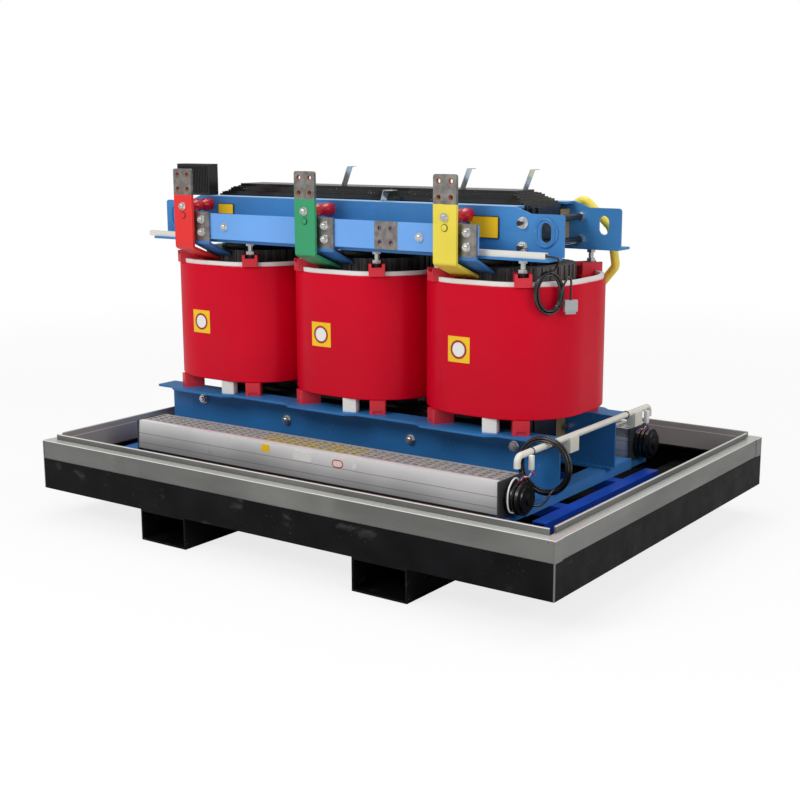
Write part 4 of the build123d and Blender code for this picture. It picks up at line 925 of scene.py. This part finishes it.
@dataclass
class Buttons:
    """Round plugs that close the slot under each low voltage bar's bolt."""

    finishes: Finishes
    radius: float = 0.0115
    face_y: float = -0.318
    height: float = 1.0235
    bar_offset: float = -0.060

    def build(self) -> None:
        """Turn one plug for each bar."""
        for phase in Phase:
            word = phase.name.lower()
            for name, radius, depth, finish in (
                ("slot_seal", self.radius, 0.0016, "tie_black"),
                ("slot_plug", self.radius - 0.0022, 0.0036, f"bar_{word}"),
            ):
                Bench.clear()
                turn = (math.pi / 2, 0, 0)
                place = (phase.centre + self.bar_offset, self.face_y - depth / 2, self.height)
                bpy.ops.mesh.primitive_cylinder_add(vertices=32, radius=radius, depth=depth, location=place,
                                                    rotation=turn)
                piece = bpy.context.object
                Bench.modify(piece, "BEVEL", width=0.0006, segments=2, limit_method="ANGLE")
                self.finishes.complete(piece, f"{name}_{word}", finish)
            logger.info("plug on %s bar", word)


@dataclass
class LugRings:
    """Weld rings round the lifting eyes of the front and rear upper clamps."""

    finishes: Finishes
    wire: float = 0.005
    reach: float = 0.0300
    half_straight: float = 0.0110
    centres: tuple[tuple[float, float], ...] = ((-0.843, -0.1915), (0.653, -0.1915), (-0.843, 0.1915),
                                                (0.653, 0.1915))
    eye_z: float = 1.011

    def build(self) -> None:
        """Lay a ring round each eye."""
        for index, (x, y) in enumerate(self.centres):
            points = []
            for across, up in round_trip(24):
                lift = math.copysign(self.half_straight, up) if up else 0.0
                points.append(Vector((x + self.reach * across, y, self.eye_z + lift + self.reach * up)))
            ring = Bench.tube(f"lug_ring_{index}", points, self.wire, closed=True)
            self.finishes.complete(ring, f"lug_ring_{index}", "upper_clamp_blue")
            logger.info("ring %d", index)


@dataclass
class TieNuts:
    """Nuts and washers on the tie rods, on the inner side of the rear upper clamp."""

    finishes: Finishes
    face_y: float = 0.183
    columns: tuple[float, ...] = (-0.765, 0.575)
    rows: tuple[float, ...] = (0.965, 1.038)
    washer: tuple[float, float] = (0.0185, 0.003)
    nut: tuple[float, float] = (0.0150, 0.013)

    def ring(self, name: str, place: Vector, size: tuple[float, float], sides: int) -> None:
        """Add one washer or nut, seated on a point of the clamp.

        Args:
            name: Name of the piece.
            place: Middle of its seat.
            size: Radius and thickness.
            sides: Number of sides.
        """
        radius, thick = size
        centre = place - Vector((0, thick / 2, 0))
        bpy.ops.mesh.primitive_cylinder_add(vertices=sides, radius=radius, depth=thick, location=centre,
                                            rotation=(math.pi / 2, 0, 0))
        self.finishes.complete(bpy.context.object, name, "bolt_zinc")

    def build(self) -> None:
        """Add a washer and a nut for each rod."""
        for column, x in enumerate(self.columns):
            for row, z in enumerate(self.rows):
                seat = Vector((x, self.face_y, z))
                self.ring(f"tie_washer_{column}{row}", seat, self.washer, 24)
                self.ring(f"tie_nut_{column}{row}", seat - Vector((0, self.washer[1], 0)), self.nut, 6)
        logger.info("tie nuts")


@dataclass
class SkidSheet:
    """Guessed thin black sheet inside the skid, with no solid in the CAD; it darkens the inside of the skid,
    partly as painted shade.
    """

    finishes: Finishes
    size: Colour = (1.940, 1.400, 0.002)
    height: float = 0.1055

    def build(self) -> None:
        """Lay the sheet with its border inside the channels' lower flanges."""
        bpy.ops.mesh.primitive_cube_add(size=1.0, location=(0, 0, self.height), scale=self.size)
        self.finishes.complete(bpy.context.object, "skid_sheet", "skid_black")
        logger.info("skid sheet")


@dataclass
class FanWires:
    """Thin wires between the conduit's ends and the fan motors, with their white connectors."""

    finishes: Finishes
    wire: float = 0.0030
    conduit_x: float = 0.723
    conduit_z: float = 0.400
    tie_radius: float = 0.0118
    tie_width: float = 0.0034

    def connector(self, name: str, centre: Vector, turn: float) -> None:
        """Add a white plug body with round corners and bevelled edges."""
        piece = Bench.plate(centre, (0.015, 0.044, 0.013), Euler((0, 0, turn)).to_matrix() @
                            facing(Vector((1, 0, 0))), 0.003)
        Bench.modify(piece, "BEVEL", width=0.0012, segments=2, limit_method="ANGLE")
        self.finishes.complete(piece, name, "sleeve_white")

    def strand(self, name: str, points: list[Colour], finish: str, diameter: float) -> None:
        """Args:
            name: Name of the wire.
            points: Its control points.
            finish: Name of its finish.
            diameter: Its diameter.
        """
        route = [Vector(point) for point in points]
        wire = Bench.tube(name, route, diameter)
        self.finishes.give(wire, finish)
        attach(wire, ROOT)
        length = Measure.length(wire)
        logger.info("%s is %.3f m", name, length)

    def ties(self) -> None:
        """Put black ties round the conduit."""
        for index, y in enumerate((-0.372, -0.262, 0.235)):
            points = [Vector((self.conduit_x + self.tie_radius * across, y,
                              self.conduit_z + self.tie_radius * up)) for across, up in round_trip(14)]
            tie = Bench.tube(f"conduit_tie_{index}", points, self.tie_width, closed=True)
            self.finishes.complete(tie, f"conduit_tie_{index}", "tie_black")

    def build(self) -> None:
        """Add the connectors, wires and ties."""
        self.connector("front_connector", Vector((0.741, -0.402, 0.375)), 0.1)
        self.connector("rear_connector", Vector((0.741, 0.352, 0.375)), -0.1)
        self.ties()
        for side, y in (("front", -0.402), ("rear", 0.352)):
            for index, finish in enumerate(("wire_blue", "sleeve_white", "wire_red")):
                shift = 0.0042 * (index - 1)
                sway = (0.014, -0.010, 0.022)[index]
                motor = (0.708 + shift, y - 0.003, 0.3170)
                self.strand(f"{side}_wire_{index}", [
                    (0.741, y + shift, 0.353), (0.742, y + shift, 0.345),
                    (0.741 + sway * 0.3, y + sway, 0.336), (0.728, y - sway * 0.6, 0.330),
                    (0.712 + shift, y - sway * 0.2, 0.330), motor,
                ], finish, self.wire)
        self.strand("front_white_cable", [
            (0.702, -0.408, 0.3175), (0.703, -0.416, 0.3300), (0.706, -0.448, 0.3290),
            (0.708, -0.475, 0.3060), (0.708, -0.479, 0.2700), (0.710, -0.474, 0.2420),
            (0.712, -0.460, 0.2340), (0.714, -0.452, 0.2330),
        ], "sleeve_white", 0.0050)


@dataclass
class SensorCable:
    """The black cable from the duct, its hank beside the right coil, and the tail to the plug."""

    finishes: Finishes
    diameter: float = 0.007
    angle: float = -40.5
    centre: Vector = field(default_factory=lambda: Vector((0.67264, -0.19613, 0.836)))
    semi: tuple[float, float] = (0.0400, 0.0590)
    layer: float = 0.0043
    spread: float = 0.0092
    steps: int = 16
    tie_width: float = 0.0026

    def local(self, side: float, out: float, up: float) -> Vector:
        """Return a point given along the hank, out of its plane and up, from the hank's centre."""
        turn = math.radians(self.angle)
        along = Vector((-math.sin(turn), math.cos(turn), 0))
        outward = Vector((math.cos(turn), math.sin(turn), 0))
        return self.centre + along * side + outward * out + Vector((0, 0, up))

    def turns(self) -> list[Vector]:
        """Return the hank's control points: an outer layer, a change of layer and an inner layer."""
        outer, change, inner = 2.25, 0.5, 2.0
        total = outer + change + inner
        count = round(total * self.steps)
        points = []
        for index in range(count + 1):
            done = total * index / count
            angle = math.pi / 2 + math.tau * done
            if done < outer:
                layer, level = 1.0, 1 - 2 * done / outer
            elif done < outer + change:
                share = (done - outer) / change
                layer, level = math.cos(math.pi * share), -1.0
            else:
                layer, level = -1.0, -1 + 2 * (done - outer - change) / inner
            wobble = 0.0006 * math.sin(2.3 * angle) + 0.0005 * math.sin(0.77 * angle)
            reach = layer * self.layer + wobble
            side = (self.semi[0] + reach) * math.cos(angle)
            up = (self.semi[1] + reach) * math.sin(angle)
            points.append(self.local(side, level * self.spread, up))
        return points

    def route(self) -> list[Vector]:
        """Return the cable's control points from the duct to the plug."""
        lead = [
            Vector((0.671, -0.247, 0.950)),
            Vector((0.696, -0.247, 0.951)),
            Vector((0.724, -0.232, 0.944)),
            Vector((0.70864, -0.21013, 0.926)),
            self.local(0.012, 0.015, 0.072),
        ]
        tail = [
            self.local(0.037, 0.0140, 0.018),
            self.local(0.046, 0.0165, 0.040),
            self.local(0.060, 0.0110, 0.050),
            self.local(0.068, 0.0020, 0.034),
            self.local(0.068, 0.0, 0.006),
            self.local(0.068, 0.0, -0.022),
        ]
        return lead + self.turns() + tail

    def build(self, plug: bpy.types.Object) -> None:
        """Lay the cable and tie it.

        Args:
            plug: The CAD plug on the cable's end; not used.
        """
        points = self.route()
        cable = Bench.tube("sensor_cable", points, self.diameter)
        self.finishes.give(cable, "cable_black")
        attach(cable, ROOT)
        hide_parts("sensor_cable_lead", "sensor_cable_coil", "sensor_cable_tail")
        length = Measure.length(cable)
        logger.info("sensor cable is %.3f m", length)
        for index, angle in enumerate((2.35, 5.6)):
            self.tie(index, angle)

    def tie(self, index: int, angle: float) -> None:
        """Put one tie round the bundle at an angle of the hank."""
        reach_out, reach_up = 0.0098, 0.0150
        points = []
        for across, along in round_trip(16):
            layer = reach_out * across
            side = (self.semi[0] + layer) * math.cos(angle)
            up = (self.semi[1] + layer) * math.sin(angle)
            points.append(self.local(side, reach_up * along, up))
        tie = Bench.tube(f"sensor_tie_{index}", points, self.tie_width, closed=True)
        self.finishes.complete(tie, f"sensor_tie_{index}", "tie_black")


@dataclass
class FanCable:
    """The fan motor's cable, coiled in a ring that hangs on the conduit."""

    finishes: Finishes
    diameter: float = 0.008
    centre: Vector = field(default_factory=lambda: Vector((0.723, -0.292, 0.3403)))
    radius: float = 0.081
    strand: float = 0.0070
    strands: int = 5
    turns: float = 4.42
    steps: int = 20
    start: float = -math.pi / 3
    first_lay: float = math.radians(200)

    def ring(self) -> list[Vector]:
        """Return the ring's control points: strands that twist about each other."""
        count = round(self.turns * self.steps)
        points = []
        for index in range(count + 1):
            done = self.turns * index / count
            angle = self.start + math.tau * done
            lay = self.first_lay + math.tau * done / self.strands
            reach = self.radius + self.strand * math.cos(lay)
            side = self.strand * math.sin(lay)
            points.append(self.centre + Vector((reach * math.cos(angle), side, reach * math.sin(angle))))
        return points

    def route(self) -> list[Vector]:
        """Return the cable's control points from the motor to the conduit."""
        lead = [
            Vector((0.713, -0.3775, 0.2395)),
            Vector((0.737, -0.3535, 0.2315)),
            Vector((0.747, -0.3260, 0.2433)),
            Vector((0.746, -0.3060, 0.2570)),
        ]
        return lead + self.ring()

    def build(self) -> None:
        """Lay the cable."""
        points = self.route()
        end = points[-1]
        points += [end + Vector((-0.012, 0.012, 0.001)), end + Vector((-0.016, 0.032, -0.004))]
        cable = Bench.tube("fan_cable", points, self.diameter)
        self.finishes.give(cable, "cable_black")
        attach(cable, ROOT)
        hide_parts("fan_cable_lead", "fan_cable_coil")
        length = Measure.length(cable)
        logger.info("fan cable is %.3f m", length)


class Measure:
    """Measures of finished pieces."""

    @staticmethod
    def length(piece: bpy.types.Object) -> float:
        """Return the length of a curve's own line, in metres."""
        curve = piece.data.copy()
        curve.bevel_depth = 0.0
        bare = bpy.data.objects.new("bare_line", curve)
        mesh = bpy.data.meshes.new_from_object(bare)
        total = 0.0
        for edge in mesh.edges:
            ends = [mesh.vertices[index].co for index in edge.vertices]
            total += (ends[0] - ends[1]).length
        bpy.data.objects.remove(bare)
        bpy.data.meshes.remove(mesh)
        return total


# ------------------------------------------------------------------ studio


@dataclass
class Studio:
    """Floor, lamps, world and camera."""

    eye: Vector = field(default_factory=lambda: Vector((2.6069, -3.6447, 1.3188)))
    azimuth: float = 35.68
    pitch: float = 11.53
    roll: float = -0.22
    lens: float = 60.33
    world_light: float = 0.46
    floor_glow: float = 0.80
    fade_middle: float = 4.2
    fade_half: float = 2.4

    def camera(self) -> None:
        """Add the camera and make it the scene's own."""
        data = bpy.data.cameras.new("camera")
        data.lens = self.lens
        data.sensor_width = 36.0
        camera = bpy.data.objects.new("camera", data)
        turn = Euler((math.radians(90 - self.pitch), 0, math.radians(self.azimuth))).to_matrix()
        tilt = Matrix.Rotation(math.radians(self.roll), 3, "Z")
        camera.matrix_world = Matrix.Translation(self.eye) @ (turn @ tilt).to_4x4()
        bpy.context.scene.collection.objects.link(camera)
        bpy.context.scene.camera = camera

    def lamp(self, name: str, place: Colour, aim: Colour, size: float, power: float) -> None:
        """Add a soft square lamp that points at a place.

        Args:
            name: Name of the lamp.
            place: Where it hangs.
            aim: Where it points.
            size: Side of the square.
            power: Power in watts.
        """
        data = bpy.data.lights.new(name, "AREA")
        data.shape = "SQUARE"
        data.size = size
        data.energy = power
        lamp = bpy.data.objects.new(name, data)
        lamp.location = place
        lamp.rotation_euler = (Vector(aim) - Vector(place)).to_track_quat("-Z", "Y").to_euler()
        bpy.context.scene.collection.objects.link(lamp)

    def world(self) -> None:
        """Light the scene softly and show white behind the object."""
        world = bpy.data.worlds.new("studio")
        bpy.context.scene.world = world
        world.use_nodes = True
        tree = world.node_tree
        background = tree.nodes["Background"]
        path = tree.nodes.new("ShaderNodeLightPath")
        seen = tree.nodes.new("ShaderNodeMapRange")
        seen.inputs["To Min"].default_value = self.world_light
        seen.inputs["To Max"].default_value = 1.0
        background.inputs["Color"].default_value = (1, 1, 1, 1)
        tree.links.new(path.outputs["Is Camera Ray"], seen.inputs["Value"])
        tree.links.new(seen.outputs[0], background.inputs["Strength"])

    def floor(self) -> None:
        """Lay a plain pale floor that shows white with a soft shadow."""
        Bench.clear()
        bpy.ops.mesh.primitive_plane_add(size=120.0, location=(0, 0, -0.0005))
        floor = bpy.context.object
        floor.name = "floor"
        shader = Shader("floor_pale")
        shader.dress(Base_Color=(0.86, 0.86, 0.86), Roughness=0.85, Specular_IOR_Level=0.1)
        glow = shader.tree.nodes.new("ShaderNodeEmission")
        path = shader.tree.nodes.new("ShaderNodeLightPath")
        mix = shader.tree.nodes.new("ShaderNodeMixShader")
        away = (shader.axis(0) ** 2.0 + shader.axis(1) ** 2.0) ** 0.5
        fade = away.above(self.fade_middle, self.fade_half)
        share = Wire(shader, path.outputs["Is Camera Ray"]) * (fade * (1 - self.floor_glow) + self.floor_glow)
        output = next(node for node in shader.tree.nodes if node.type == "OUTPUT_MATERIAL")
        shader.feed(mix.inputs[0], share)
        shader.tree.links.new(shader.surface.outputs[0], mix.inputs[1])
        shader.tree.links.new(glow.outputs[0], mix.inputs[2])
        shader.tree.links.new(mix.outputs[0], output.inputs["Surface"])
        floor.data.materials.append(shader.material)

    def build(self) -> None:
        """Set up the studio."""
        bpy.context.scene.view_settings.view_transform = "Standard"
        self.world()
        self.floor()
        self.lamp("key", (-1.4, -5.2, 4.4), (0, 0, 0.5), 2.6, 190.0)
        self.lamp("fill", (5.4, -1.6, 2.8), (0.2, 0, 0.6), 2.2, 80.0)
        self.lamp("top", (0.2, 0.8, 5.2), (0, 0, 0.8), 3.4, 110.0)
        self.camera()


def main() -> None:
    """Load the frame, dress it and add every piece."""
    logging.basicConfig(level=logging.INFO, format="%(message)s")
    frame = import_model()
    finishes = Finishes()
    Dressing(finishes).build(frame["nodes"])
    SensorCable(finishes).build(frame["nodes"]["sensor_plug"])
    FanCable(finishes).build()
    CoilSigns(finishes).build()
    Plates(finishes).build(frame["nodes"]["fan_front_shell"])
    Buttons(finishes).build()
    LugRings(finishes).build()
    TieNuts(finishes).build()
    SkidSheet(finishes).build()
    FanWires(finishes).build()
    Studio().build()


if __name__ == "__main__":
    main()
